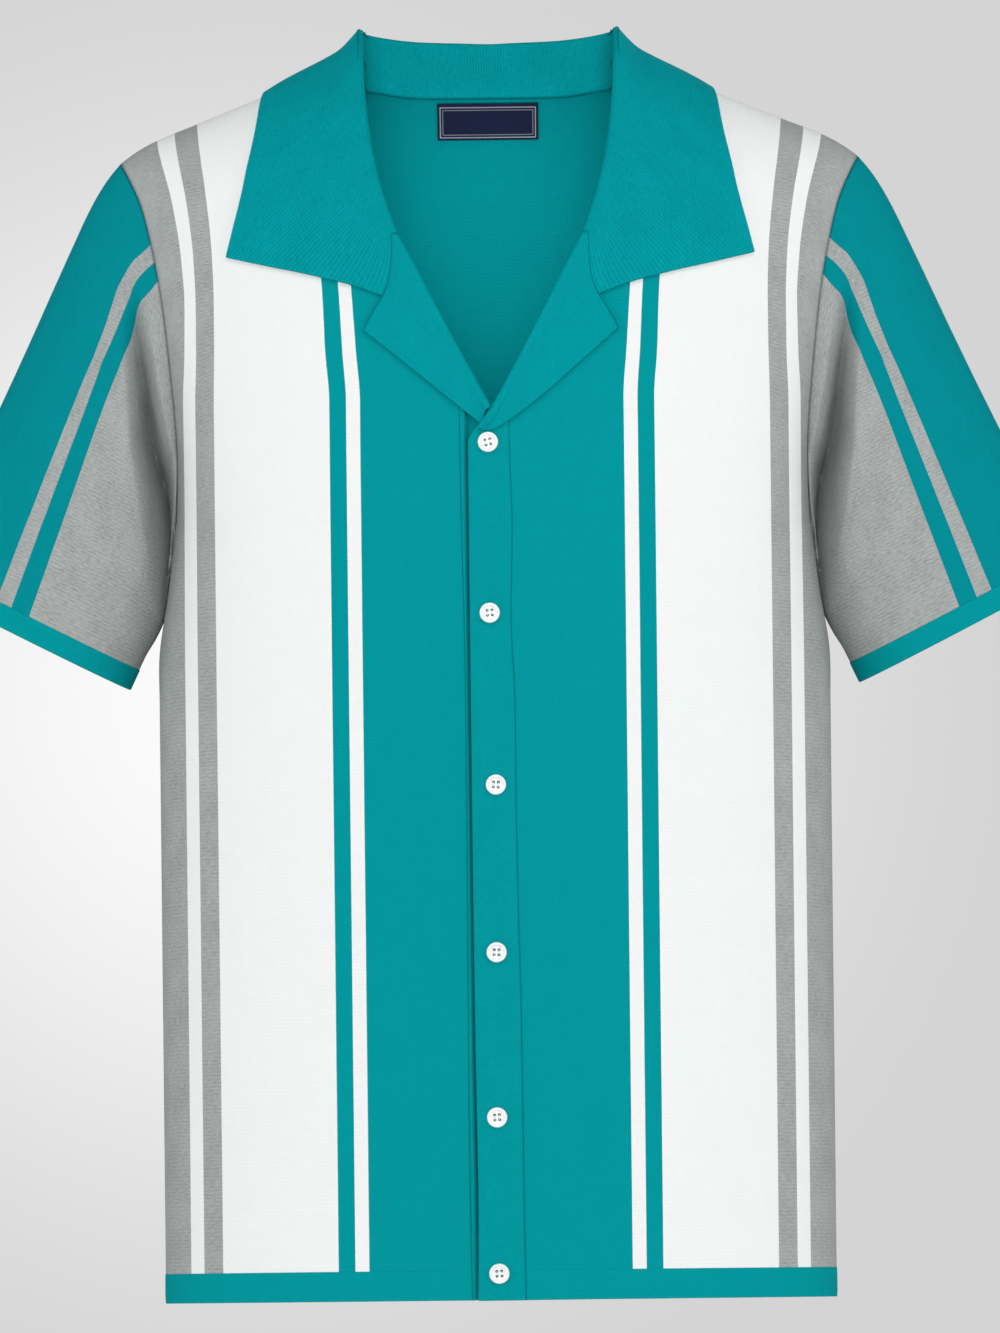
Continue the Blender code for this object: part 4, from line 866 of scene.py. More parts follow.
def cloth(name, grid, thickness, normals, u, v, finish, replaces, closed=False, stripe=None,
          seam=None, soften=0.0, slot="teal_knit"):
    """A sheet of cloth with a wall: the grid is its outer face, and u, v run along it in metres.

    The inner face is the grid moved in along the normals.  `stripe` and `seam` are values
    that the finish reads: the place across the stripes and the distance to a sewn edge.
    """
    rows, columns = grid.shape[:2]
    inner = grid - normals * thickness
    points = np.concatenate([grid.reshape(-1, 3), inner.reshape(-1, 3)])
    number = np.arange(rows * columns).reshape(rows, columns)
    far = number + rows * columns
    corner = np.arange(u.size).reshape(u.shape)
    if closed:
        number = np.concatenate([number, number[:1]])
        far = np.concatenate([far, far[:1]])
    rims = [(number[:, -1], far[:, -1], corner[:, -1]), (far[:, 0], number[:, 0], corner[:, 0])]
    if not closed:
        rims += [(far[-1, :], number[-1, :], corner[-1, :]), (number[0, :], far[0, :], corner[0, :])]
    faces = [quads(number), quads(far)[:, ::-1]]
    corners = [quads(corner), quads(corner)[:, ::-1]]
    for near_line, far_line, line in rims:
        faces.append(np.stack([near_line[:-1], near_line[1:], far_line[1:], far_line[:-1]], -1))
        corners.append(np.stack([line[:-1], line[1:], line[1:], line[:-1]], -1))
    faces = np.concatenate(faces)
    corners = np.concatenate(corners)
    if float(np.sum(grid_normals(grid) * normals)) < 0:
        faces = faces[:, ::-1]
        corners = corners[:, ::-1]
    mesh = bpy.data.meshes.new(name)
    mesh.from_pydata(points.tolist(), [], faces.tolist())
    uv = mesh.uv_layers.new(name="cloth")
    uv.data.foreach_set("uv", np.stack([u, v], -1).reshape(-1, 2)[corners.ravel()].ravel())
    for label, values in (("stripe", stripe), ("seam", seam)):
        if values is not None:
            add_values(mesh, label, np.tile(values.ravel(), 2))
    made = placed(name, mesh, finish)
    if soften:
        bevel = made.modifiers.new("soft edge", "BEVEL")
        bevel.width = soften
        bevel.segments = 2
        bevel.limit_method = "ANGLE"
        bevel.angle_limit = SHARP_EDGE
    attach(made, "root")
    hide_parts(*replaces)
    return made


def sheet(grid, u, v, width=None):
    width = width or float(np.ptp(u))
    length = float(np.ptp(v))
    cell = np.cross(np.diff(grid, axis=0)[:, :-1], np.diff(grid, axis=1)[:-1])
    area = float(np.linalg.norm(cell, axis=-1).sum())
    area = min(max(area, LEAST_FILL * width * length), width * length)


# ---- finishes ------------------------------------------------------------------------
class Nodes:
    """Adds nodes to a tree and joins them in one go."""

    def __init__(self, tree):
        self.tree = tree

    def add(self, kind, inputs=None, **settings):
        """A node of a kind: inputs are values or other nodes' outputs, by socket."""
        node = self.tree.nodes.new(kind)
        for key, value in settings.items():
            setattr(node, key, value)
        for key, value in (inputs or {}).items():
            if isinstance(value, bpy.types.NodeSocket):
                self.tree.links.new(value, node.inputs[key])
            else:
                node.inputs[key].default_value = value
        return node

    def sum(self, operation, *values):
        """One Math node: its result."""
        return self.add("ShaderNodeMath", dict(enumerate(values)), operation=operation).outputs[0]

    def step(self, value, low, high, start=0.0, end=1.0):
        """A smooth rise from start to end while the value goes from low to high."""
        made = self.add("ShaderNodeMapRange", {"Value": value, "From Min": low, "From Max": high,
                                               "To Min": start, "To Max": end},
                        interpolation_type="SMOOTHSTEP")
        return made.outputs[0]

    def mix(self, share, first, second, blend="MIX"):
        """Two colours mixed by a share."""
        made = self.add("ShaderNodeMix", {"Factor": share}, data_type="RGBA", blend_type=blend)
        for key, value in ((6, first), (7, second)):
            if isinstance(value, bpy.types.NodeSocket):
                self.tree.links.new(value, made.inputs[key])
            else:
                made.inputs[key].default_value = (*value, 1.0)
        return made.outputs[2]


def new_finish(name):
    """A new material, its Nodes and its shader."""
    made = bpy.data.materials.new(name)
    made.use_nodes = True
    return made, Nodes(made.node_tree), made.node_tree.nodes["Principled BSDF"]


def effect(name, wanted, given):
    """A new node group with those inputs and outputs, and its Nodes and group ends."""
    tree = bpy.data.node_groups.new(name, "ShaderNodeTree")
    for label, kind, value in wanted:
        made = tree.interface.new_socket(label, in_out="INPUT", socket_type=kind)
        if value is not None:
            made.default_value = value
    for label, kind in given:
        tree.interface.new_socket(label, in_out="OUTPUT", socket_type=kind)
    nodes = Nodes(tree)
    return tree, nodes, nodes.add("NodeGroupInput"), nodes.add("NodeGroupOutput")


WAVER_SCALE = 60.0         # courses waver at this scale, by this share of a course
WAVER = 0.5
STITCH_LEAN = 0.8          # how steeply the two halves of a V lean
YARN_SCALE = (260.0, 1100.0, 1.0)  # flecks are longer along a course than across it
FLECK_ROUGHNESS = 0.6
CLOUD_SCALE = 45.0         # broad cloudy shade, and its share beside the flecks
CLOUD_SHARE = 0.35
STITCH_HEIGHT = 0.5        # share of the stitches and of the flecks in the height
FLECK_HEIGHT = 0.8
SEAM_SHADE_FROM = 0.0004    # painted seam shade is full up to here, and none past the second
SEAM_SHADE_TO = 0.0016
SEAM_HEIGHT = 4.0          # how far the cloth is drawn down at a seam, in stitches
HEATHER_UNEVEN = 13.0      # grey cloth is this much more flecked than plain cloth
HEATHER_STITCH_SHADE = 7.0        # and the painted shade of its courses is this much stronger
BUMP_STRENGTH = 0.6


def knit_effect():
    """Rows of small V stitches: courses up the cloth, leaning in two halves of each wale. Their height
    also darkens the colour, as painted shade in the knit's grooves beside the yarn's real flecks.
    """
    if "Knit stitches" in bpy.data.node_groups:
        return bpy.data.node_groups["Knit stitches"]
    tree, nodes, start, end = effect(
        "Knit stitches",
        [("Wale", "NodeSocketFloat", 0.0014), ("Course", "NodeSocketFloat", 0.0018),
         ("Rib", "NodeSocketFloat", 0.3), ("Unevenness", "NodeSocketFloat", 0.05),
         ("Stitch shade", "NodeSocketFloat", 0.02)],
        [("Height", "NodeSocketFloat"), ("Shade", "NodeSocketFloat")])
    place = nodes.add("ShaderNodeUVMap", uv_map="cloth").outputs[0]
    split = nodes.add("ShaderNodeSeparateXYZ", {0: place}).outputs
    across = nodes.sum("DIVIDE", split[0], start.outputs["Wale"])
    up = nodes.sum("DIVIDE", split[1], start.outputs["Course"])
    waver = nodes.add("ShaderNodeTexNoise", {"Vector": place, "Scale": WAVER_SCALE, "Detail": 1.0})
    up = nodes.sum("MULTIPLY_ADD", waver.outputs[0], WAVER, up)
    half = nodes.sum("PINGPONG", across, 0.5)
    leaning = nodes.sum("MULTIPLY_ADD", half, STITCH_LEAN, up)
    course = nodes.sum("COSINE", nodes.sum("MULTIPLY", leaning, 2 * math.pi))
    wale = nodes.sum("COSINE", nodes.sum("MULTIPLY", across, 2 * math.pi))
    rest = nodes.sum("SUBTRACT", 1.0, start.outputs["Rib"])
    height = nodes.sum("ADD", nodes.sum("MULTIPLY", course, rest),
                       nodes.sum("MULTIPLY", wale, start.outputs["Rib"]))
    yarn = nodes.add("ShaderNodeMapping", {"Vector": place, "Scale": YARN_SCALE})
    fleck = nodes.add("ShaderNodeTexNoise", {"Vector": yarn.outputs[0], "Scale": 1.0, "Detail": 3.0,
                                             "Roughness": FLECK_ROUGHNESS})
    cloud = nodes.add("ShaderNodeTexNoise", {"Vector": place, "Scale": CLOUD_SCALE, "Detail": 2.0})
    fleck = nodes.sum("SUBTRACT", fleck.outputs[0], 0.5)
    cloud = nodes.sum("SUBTRACT", cloud.outputs[0], 0.5)
    uneven = nodes.sum("MULTIPLY_ADD", cloud, CLOUD_SHARE, fleck)
    uneven = nodes.sum("MULTIPLY", uneven, start.outputs["Unevenness"])
    # painted shade: the stitches' height darkens the colour in their grooves, added to the yarn's real
    # flecks
    tone_and_stitch_shade = nodes.sum("MULTIPLY_ADD", height, start.outputs["Stitch shade"], uneven)
    fuzz = nodes.sum("MULTIPLY", fleck, FLECK_HEIGHT)
    tree.links.new(nodes.sum("MULTIPLY_ADD", height, STITCH_HEIGHT, fuzz), end.inputs["Height"])
    tree.links.new(nodes.sum("ADD", 1.0, tone_and_stitch_shade), end.inputs["Shade"])
    return tree


def seam_dip_and_shade_effect():
    """Draws the cloth down to a seam and darkens its last fraction of a millimetre with painted shade
    of the seam's groove.
    """
    if "Seam dip and painted shade" in bpy.data.node_groups:
        return bpy.data.node_groups["Seam dip and painted shade"]
    tree, nodes, start, end = effect(
        "Seam dip and painted shade",
        [("Width", "NodeSocketFloat", 0.0030), ("Painted shade", "NodeSocketFloat", 0.35)],
        [("Height", "NodeSocketFloat"), ("Shade", "NodeSocketFloat")])
    away = nodes.add("ShaderNodeAttribute", attribute_name="seam").outputs["Fac"]
    tree.links.new(nodes.step(away, 0.0, start.outputs["Width"]), end.inputs["Height"])
    # painted shade of the seam's groove, strongest right at the seam
    near = nodes.step(away, SEAM_SHADE_FROM, SEAM_SHADE_TO, 1.0, 0.0)
    painted_shade = nodes.sum("MULTIPLY", near, start.outputs["Painted shade"])
    tree.links.new(nodes.sum("SUBTRACT", 1.0, painted_shade), end.inputs["Shade"])
    return tree


def colour_bands(nodes, value, stops):
    """Bands of plain colour along a value: each stop is where its colour begins."""
    ramp = nodes.add("ShaderNodeValToRGB", {"Fac": value})
    ramp.color_ramp.interpolation = "CONSTANT"
    marks = ramp.color_ramp.elements
    while len(marks) > 1:
        marks.remove(marks[-1])
    marks[0].position = stops[0][0]
    marks[0].color = (*stops[0][1], 1.0)
    for at, colour in stops[1:]:
        marks.new(at).color = (*colour, 1.0)
    return ramp.outputs[0]


def knit_finish(name, colour, wale=0.0014, course=0.0018, rib=0.3, uneven=0.10, lines=0.012,
                dents=0.00012, bands=None, heather=(), sewn=False):
    """Matt knitted cloth: plain, or with bands of colour along the `stripe` values.

    `heather` says for each band how far it is flecked cloth (1) or plain cloth (0).
    """
    if name in bpy.data.materials:
        return bpy.data.materials[name]
    made, nodes, shader = new_finish(name)
    knit = nodes.add("ShaderNodeGroup", node_tree=knit_effect())
    # lines sets the strength of the painted shade in the stitches' grooves
    for key, value in (("Wale", wale), ("Course", course), ("Rib", rib), ("Unevenness", uneven),
                       ("Stitch shade", lines)):
        knit.inputs[key].default_value = value
    height, shade = knit.outputs["Height"], knit.outputs["Shade"]
    base = nodes.add("ShaderNodeRGB").outputs[0]
    base.default_value = (*colour, 1.0)
    if bands:
        place = nodes.add("ShaderNodeAttribute", attribute_name="stripe").outputs["Fac"]
        place = nodes.sum("DIVIDE", place, STRIPE_SPAN)
        base = colour_bands(nodes, place, bands)
        parts = [(at, (part,) * 3) for (at, _), part in zip(bands, heather)]
        flecked = colour_bands(nodes, place, parts)
        for key, plain, times in (("Unevenness", uneven, HEATHER_UNEVEN),
                                  ("Stitch shade", lines, HEATHER_STITCH_SHADE)):
            value = nodes.step(flecked, 0.0, 1.0, plain, times * plain)
            nodes.tree.links.new(value, knit.inputs[key])
    # seams: a dip in the bump, and painted shade along the sewn edge
    if sewn:
        edge = nodes.add("ShaderNodeGroup", node_tree=seam_dip_and_shade_effect())
        shade = nodes.sum("MULTIPLY", shade, edge.outputs["Shade"])
        height = nodes.sum("MULTIPLY_ADD", edge.outputs["Height"], SEAM_HEIGHT, height)
    tint = nodes.add("ShaderNodeCombineColor", {"Red": shade, "Green": shade, "Blue": shade})
    shaded = nodes.mix(1.0, base, tint.outputs[0], blend="MULTIPLY")
    nodes.tree.links.new(shaded, shader.inputs["Base Color"])
    bump = nodes.add("ShaderNodeBump", {"Height": height, "Strength": BUMP_STRENGTH,
                                        "Distance": dents})
    nodes.tree.links.new(bump.outputs[0], shader.inputs["Normal"])
    shader.inputs["Roughness"].default_value = 0.9
    shader.inputs["Specular IOR Level"].default_value = 0.01
    return made


def band_finish(colours):
    """Rib knit of the hem and cuff bands."""
    return knit_finish("band knit", colours.teal, wale=0.0014, course=0.0021, rib=0.4,
                       uneven=0.16, lines=0.01)


# ---- sizes and colours that can be changed -------------------------------------------
class ShirtSizes(bpy.types.PropertyGroup):
    """Thickness of the cloth and the size of the buttons"""
    knit: FloatProperty(name="Knit", description="Thickness of the body and sleeve cloth",
                        default=0.0015, unit="LENGTH")
    rib: FloatProperty(name="Collar rib", description="Thickness of the collar and lapels",
                       default=0.0018, unit="LENGTH")
    button: FloatProperty(name="Button", description="Diameter of a button",
                          default=0.0113, unit="LENGTH")
    button_height: FloatProperty(name="Button height", description="Thickness of a button",
                                 default=0.0026, unit="LENGTH")


def colour_property(name, text, value):
    """A colour that shows as a swatch in the sidebar."""
    return FloatVectorProperty(name=name, description=text, default=value, subtype="COLOR",
                               size=3, min=0.0, max=1.0)


class ShirtColours(bpy.types.PropertyGroup):
    """Colours of the yarns, the label and the buttons"""
    teal: colour_property("Teal", "Main stripe, placket, hem and cuffs", (0.0012, 0.300, 0.328))
    collar: colour_property("Collar teal", "Collar and lapels", (0.0013, 0.306, 0.342))
    sleeve: colour_property("Sleeve teal", "Teal of the sleeves", (0.0016, 0.258, 0.294))
    white: colour_property("White", "White stripes", (0.880, 0.892, 0.888))
    grey: colour_property("Grey", "Grey stripes", (0.369, 0.392, 0.385))
    label: colour_property("Label", "Ground of the woven label", (0.012, 0.016, 0.050))
    border: colour_property("Label border", "Thin border woven into the label", (0.35, 0.36, 0.40))
    button: colour_property("Button", "Buttons and their thread", (0.93, 0.94, 0.94))


class StudioSettings(bpy.types.PropertyGroup):
    """Camera, light and floor"""
    distance: FloatProperty(name="Camera distance", description="Camera to the shirt's middle",
                            default=4.0, unit="LENGTH")
    lens: FloatProperty(name="Lens", description="Focal length in millimetres", default=188.5)
    key: FloatProperty(name="Light", description="Power that each light takes its share of",
                       default=112.0, unit="POWER")
    floor: FloatProperty(name="Floor level", description="Height of the studio floor",
                         default=-1.40, unit="LENGTH")


STRIPE_SPAN = 0.40         # metres across the stripes that a colour ramp covers


def body_bands(colours):
    """The body's stripes, from the centre outwards."""
    edges = [0.0] + [STRIPE_ROWS[0][letter] for letter in STRIPE_LETTERS]
    order = (colours.teal, colours.white, colours.teal, colours.white, colours.grey,
             colours.white, colours.grey)
    return [(edge / STRIPE_SPAN, colour) for edge, colour in zip(edges, order)]


def sleeve_bands(colours):
    """The sleeve's stripes, from under the arm upwards."""
    edges = [0.0] + [SLEEVE_STRIPE_ROWS[0][letter] for letter in SLEEVE_STRIPE_LETTERS]
    order = (colours.grey, colours.sleeve, colours.grey, colours.sleeve)
    return [(edge / STRIPE_SPAN, colour) for edge, colour in zip(edges, order)]


# ---- body ----------------------------------------------------------------------------
PANEL_ROW_TIMES = 7
PANEL_COLUMN_TIMES = 5
UNDER_BAND = 0.0030        # how far a front's edge runs on under its placket band
UNDER_BAND_SHARE = 0.85    # the share of it on the front that is lapped over
RIM_LINES = 2              # outermost lines whose normals are the body's own
RIM_PAST_ARMHOLE = 8       # rows past the underarm down to which this holds at the side
SHOULDER_SEAM_MARGIN = 0.002
BACK_U_MIDDLE = 0.3        # u of the back's middle line
HEM_PROUD = 0.0004         # how far hem and cuff bands stand out from their cloth
BAND_EDGE = 0.0006         # width of the softened edge of hem and cuff bands
# The hem band from its seam down: share of its height, and how far it stands out.
HEM_BAND_ROWS = [(0.0, 0.0), (0.02, 0.0003), (0.25, HEM_PROUD), (0.5, HEM_PROUD),
                 (0.75, HEM_PROUD), (1.0, 0.0002)]


def finished_panel(name, face, control, sizes, colours, side, replaces):
    """A body panel: the control grid made finer, with stripes and seams."""
    grid = finer(finer(control, PANEL_ROW_TIMES), PANEL_COLUMN_TIMES, axis=1)
    last = ARMHOLE_STEPS * PANEL_ROW_TIMES
    reference = body_normal(face, grid[..., 0], grid[..., 2])
    normals = toward(grid_normals(grid), reference)
    rim = np.ones(grid.shape[:2])
    rim[:, RIM_LINES:-RIM_LINES] = 0.0
    rim[last + RIM_PAST_ARMHOLE:, :] = 0.0
    rim[:RIM_LINES, :] = 1.0
    normals = unit(normals * (1 - rim)[..., None] + reference * rim[..., None])
    across = run_along(grid, 1)
    up = run_along(grid[::-1], 0)[::-1]
    seam = across[:, -1:] - across
    if face == "front":
        u = across + np.abs(grid[:, :1, 0])
    else:
        u = across - across[:, -1:] / 2 + BACK_U_MIDDLE
        seam = np.minimum(seam, across)
    shoulder = run_along(grid, 0)
    beside_neck = np.abs(grid[..., 0]) > NECK_HALF - SHOULDER_SEAM_MARGIN
    seam = np.minimum(seam, np.where(beside_neck, shoulder, 1.0))
    if side == "right":
        grid, normals = mirrored(grid), mirrored(normals)
    stripe = stripe_place(grid[..., 0], grid[..., 2], STRIPE_ROWS, STRIPE_LETTERS)
    finish = knit_finish("striped knit", colours.white, wale=0.0013, course=0.0021, rib=0.25,
                         uneven=0.07, bands=body_bands(colours),
                         heather=(0.1, 0.0, 0.1, 0.0, 1.0, 0.0, 1.0), sewn=True)
    made = cloth(name, grid, sizes.knit, normals, u, up, finish, replaces, stripe=stripe,
                 seam=seam, slot="striped_knit")
    sheet(grid, u, up)
    return grid[-1], normals[-1], u[-1]


def hem_band(name, top, normals, u, sizes, colours, replaces, rests_on):
    """A straight band below a panel's last row, a hair prouder than the panel."""
    steps, proud = np.array(HEM_BAND_ROWS).T[:, :, None, None]
    drop = HEM_BAND + GAP
    grid = top[None] - steps * np.array([0.0, 0.0, drop]) + proud * normals[None]
    v = np.repeat((1 - steps[:, :, 0]) * drop, grid.shape[1], axis=1)
    u = np.repeat(u[None], len(grid), axis=0)
    made = cloth(name, grid, sizes.knit + HEM_PROUD, np.repeat(normals[None], len(grid), axis=0),
                 u, v, band_finish(colours), replaces, soften=BAND_EDGE, slot="teal_rib")
    sheet(grid, u, v)


class SHIRT_OT_body(bpy.types.Operator):
    """Makes the two fronts, the back and their hem bands"""
    bl_idname = "shirt.body"
    bl_label = "Body"

    def execute(self, context):
        sizes, colours = context.scene.shirt_sizes, context.scene.shirt_colours
        for side, band_x, lapping in (("left", BAND_SEAM_X, True), ("right", -UNDER_BAND_X, False)):
            under = UNDER_BAND if lapping else UNDER_BAND * UNDER_BAND_SHARE
            control = front_grid(band_x - under, lapping)
            name = "front_" + side
            edge = finished_panel(name + "_cloth", "front", control, sizes, colours, side,
                                  [name])
            hem_band("hem_" + side + "_band", *edge, sizes, colours, ["hem_" + side],
                     [name + "_cloth"])
        edge = finished_panel("back_cloth", "back", back_grid(), sizes, colours, "", ["back"])
        hem_band("hem_back_band", *edge, sizes, colours, ["hem_back"], ["back_cloth"])
        return {"FINISHED"}


# ---- placket -------------------------------------------------------------------------
BAND_PROUD = 0.0008
PUFF_SHARE = 0.09          # share of a band's width over which it rises from its edges
PUFF_START = 0.3           # share of BAND_PROUD at the edges
BAND_GAPE = 0.0016         # how far the top band's free edge stands off at its widest
GAPE_LEAST = 0.35          # the share of this elsewhere, and where its widest part is
GAPE_Z = -0.630
GAPE_REACH = 0.045
LAP_DIP = 0.0036           # how far the under band sinks below the top band's free edge
LAP_DIP_WIDTH = 0.0024
LAP_DIP_REST = 0.0008      # how far past that edge it goes on sinking
BAND_ROW_COUNT = 181
BAND_COLUMNS = [0.0, 0.012, 0.03, 0.05, 0.08, 0.11, 0.14, 0.17, 0.20, 0.23, 0.26, 0.30, 0.36,
                0.5, 0.75, 0.92, 0.97, 0.988, 1.0]
BANDS = {
    "left": {"free_x": BAND_FREE_X, "seam_x": BAND_SEAM_X, "ends": TOP_BAND_END_ROWS},
    "right": {"free_x": UNDER_BAND_X, "seam_x": UNDER_BAND_END_X, "ends": UNDER_BAND_END_ROWS},
}


def band_place(side, across):
    """x and z of a band's points: its columns run from the free edge to the far one."""
    band = BANDS[side]
    x = band["free_x"] + (band["seam_x"] - band["free_x"]) * across
    top = table(band["ends"], "z", x, key="x")
    share = np.linspace(0.0, 1.0, BAND_ROW_COUNT)[:, None]
    z = top + (HEM_Z + HEM_DIP - top) * share
    if side == "left":
        free_x = table(FREE_EDGE_ROWS, "x", z)
        far_x = table(BAND_SEAM_ROWS, "x", z)
    else:
        free_x = table(UNDER_BAND_ROWS, "x", z)
        far_x = band["seam_x"]
    return free_x + (far_x - free_x) * across, z


def band_lift(side, across, x, z):
    """How far a band stands out: round at both edges, gaping or sunk where the top one ends."""
    to_edge = np.minimum(1 - across, across)
    puff = np.sqrt(np.clip(1 - (1 - to_edge / PUFF_SHARE) ** 2, 0, 1))
    puff = np.where(to_edge > PUFF_SHARE, 1.0, puff)
    lift = BAND_PROUD * (PUFF_START + (1 - PUFF_START) * puff)
    if side == "left":
        gape = GAPE_LEAST + (1 - GAPE_LEAST) * np.exp(-((z - GAPE_Z) / GAPE_REACH) ** 2)
        return LAP + lift + BAND_GAPE * gape * (1 - across) ** 2
    near_edge = x - table(FREE_EDGE_ROWS, "x", z) + LAP_DIP_WIDTH
    return lift - LAP_DIP * smooth_step(near_edge / (LAP_DIP_WIDTH + LAP_DIP_REST))


class SHIRT_OT_placket(bpy.types.Operator):
    """Makes the two placket bands, the top one lapping over the under one"""
    bl_idname = "shirt.placket"
    bl_label = "Placket"

    def execute(self, context):
        sizes, colours = context.scene.shirt_sizes, context.scene.shirt_colours
        across = np.array(BAND_COLUMNS)[None, :]
        finish = knit_finish("placket knit", colours.teal, wale=0.0014, course=0.0017, rib=0.2,
                             uneven=0.32, lines=0.03, sewn=True)
        for side in BANDS:
            name = "placket_" + side
            x, z = band_place(side, across)
            grid, normals = on_body("front", x, z, band_lift(side, across, x, z))
            u = run_along(grid, 1)
            v = run_along(grid[::-1], 0)[::-1]
            if side == "left":
                seam = np.where(across < 0.5, 1.0, u[:, -1:] - u)
            else:
                seam = np.where(across < 0.5, u, 1.0)
            made = cloth(name + "_band", grid, sizes.knit, normals, u, v, finish, [name],
                         seam=seam, soften=0.0005, slot="teal_knit")
            sheet(grid, u, v,
                  width=float(np.median(u[:, -1])))
        return {"FINISHED"}


# ---- sleeves -------------------------------------------------------------------------
# The valley beside the armhole, seen from the front: how far its outer side reaches, the share
# of the sleeve's own depth that it takes, and how round its outer side is.
FOLD_ROWS = [
    {"z": -0.3080, "x": 0.1892, "wide": 0.0100, "depth": 0.00, "round": 1.0},
    {"z": -0.2850, "x": 0.1862, "wide": 0.0110, "depth": 0.50, "round": 1.0},
    {"z": -0.2700, "x": 0.1845, "wide": 0.0130, "depth": 0.94, "round": 0.6},
    {"z": -0.2617, "x": 0.1845, "wide": 0.0145, "depth": 0.97, "round": 0.3},
    {"z": -0.2504, "x": 0.1853, "wide": 0.0155, "depth": 0.97, "round": 0.2},
    {"z": -0.2391, "x": 0.1868, "wide": 0.0155, "depth": 0.96, "round": 0.1},
    {"z": -0.2277, "x": 0.1892, "wide": 0.0145, "depth": 0.92, "round": 0.0},
    {"z": -0.2107, "x": 0.1938, "wide": 0.0125, "depth": 0.76, "round": 0.0},
    {"z": -0.1880, "x": 0.1966, "wide": 0.0108, "depth": 0.58, "round": 0.0},
    {"z": -0.1653, "x": 0.1990, "wide": 0.0096, "depth": 0.40, "round": 0.0},
    {"z": -0.1427, "x": 0.2013, "wide": 0.0086, "depth": 0.20, "round": 0.0},
    {"z": -0.1200, "x": 0.2030, "wide": 0.0080, "depth": 0.00, "round": 0.0},
]
FOLD_SEAM_SPACE = 0.0015   # the valley fades out this near to the seam
FOLD_LEAST_WIDE = 0.002
FOLD_POWER = 1.5           # how the valley deepens towards its lowest line
BACK_FOLD_SHARE = 0.8      # it is a little shallower on the back
SOFT_FOLD_FADE = 0.2       # share of the sleeve's length over which a soft hollow begins or ends
# Long faint hollows down the sleeve: the turn at their middle, lean, width and depth, and the
# shares of the sleeve's length between which they run.
SOFT_FOLDS = [
    {"turn": 1.15, "lean": 0.5, "wide": 0.16, "deep": 0.0016, "from": 0.10, "to": 0.85},
    {"turn": 0.55, "lean": -0.4, "wide": 0.13, "deep": 0.0011, "from": 0.25, "to": 0.95},
    {"turn": 2.05, "lean": 0.3, "wide": 0.14, "deep": 0.0014, "from": 0.45, "to": 1.00},
    {"turn": 4.10, "lean": -0.5, "wide": 0.20, "deep": 0.0022, "from": 0.05, "to": 0.70},
    {"turn": 5.00, "lean": 0.4, "wide": 0.15, "deep": 0.0014, "from": 0.20, "to": 0.90},
]


def sleeve_folds(grid, share, turn):
    """Moves the sleeve in: a valley beside the armhole seam and soft hollows down its length.

    The valley's side is a power of the nearness to its lowest line, or a round one where the
    table says so.  A hollow is a bell curve across its own line.
    """
    centre = grid.mean(axis=0, keepdims=True)
    inward = unit(centre - grid)
    x, y, z = np.abs(grid[..., 0]), grid[..., 1], grid[..., 2]
    out = x - table(FOLD_ROWS, "x", z)
    wide = table(FOLD_ROWS, "wide", z)
    to_seam = table(FOLD_ROWS, "x", z) - table(ARMHOLE_ROWS, "x", z)
    across = np.abs(out) / np.where(out > 0, wide, np.clip(to_seam, FOLD_LEAST_WIDE, wide))
    near = np.clip(1.0 - across, 0.0, 1.0)
    shape = near ** FOLD_POWER
    shape = shape + table(FOLD_ROWS, "round", z) * (1.0 - np.sqrt(1.0 - near ** 2) - shape)
    valley = table(FOLD_ROWS, "depth", z) * np.abs(y) * shape
    valley = valley * smooth_step(run_along(grid, 1) / FOLD_SEAM_SPACE)
    valley = valley * np.where(y < 0, 1.0, BACK_FOLD_SHARE)
    moved = grid.copy()
    moved[..., 1] -= np.sign(y) * valley
    for fold in SOFT_FOLDS:
        off = (turn - fold["turn"] - fold["lean"] * (share - 0.5)) / fold["wide"]
        along = smooth_step((share - fold["from"]) / SOFT_FOLD_FADE)
        along = along * smooth_step((fold["to"] - share) / SOFT_FOLD_FADE)
        moved = moved + inward * (fold["deep"] * along * np.exp(-off ** 2))[..., None]
    return moved


SLEEVE_TURN_TIMES = 5
SLEEVE_ROW_TIMES = 14
CUFF_ROW_TIMES = 6


def rings_made_finer(control, times):
    """A sleeve's or cuff's rings, finer round the arm and down its length."""
    return finer(finer(control, SLEEVE_TURN_TIMES, closed=True), times, axis=1)


def tube_normals(grid):
    """Outward normals of a grid that closes round the arm."""
    return toward(grid_normals(grid, closed=True), grid - grid.mean(axis=0, keepdims=True))


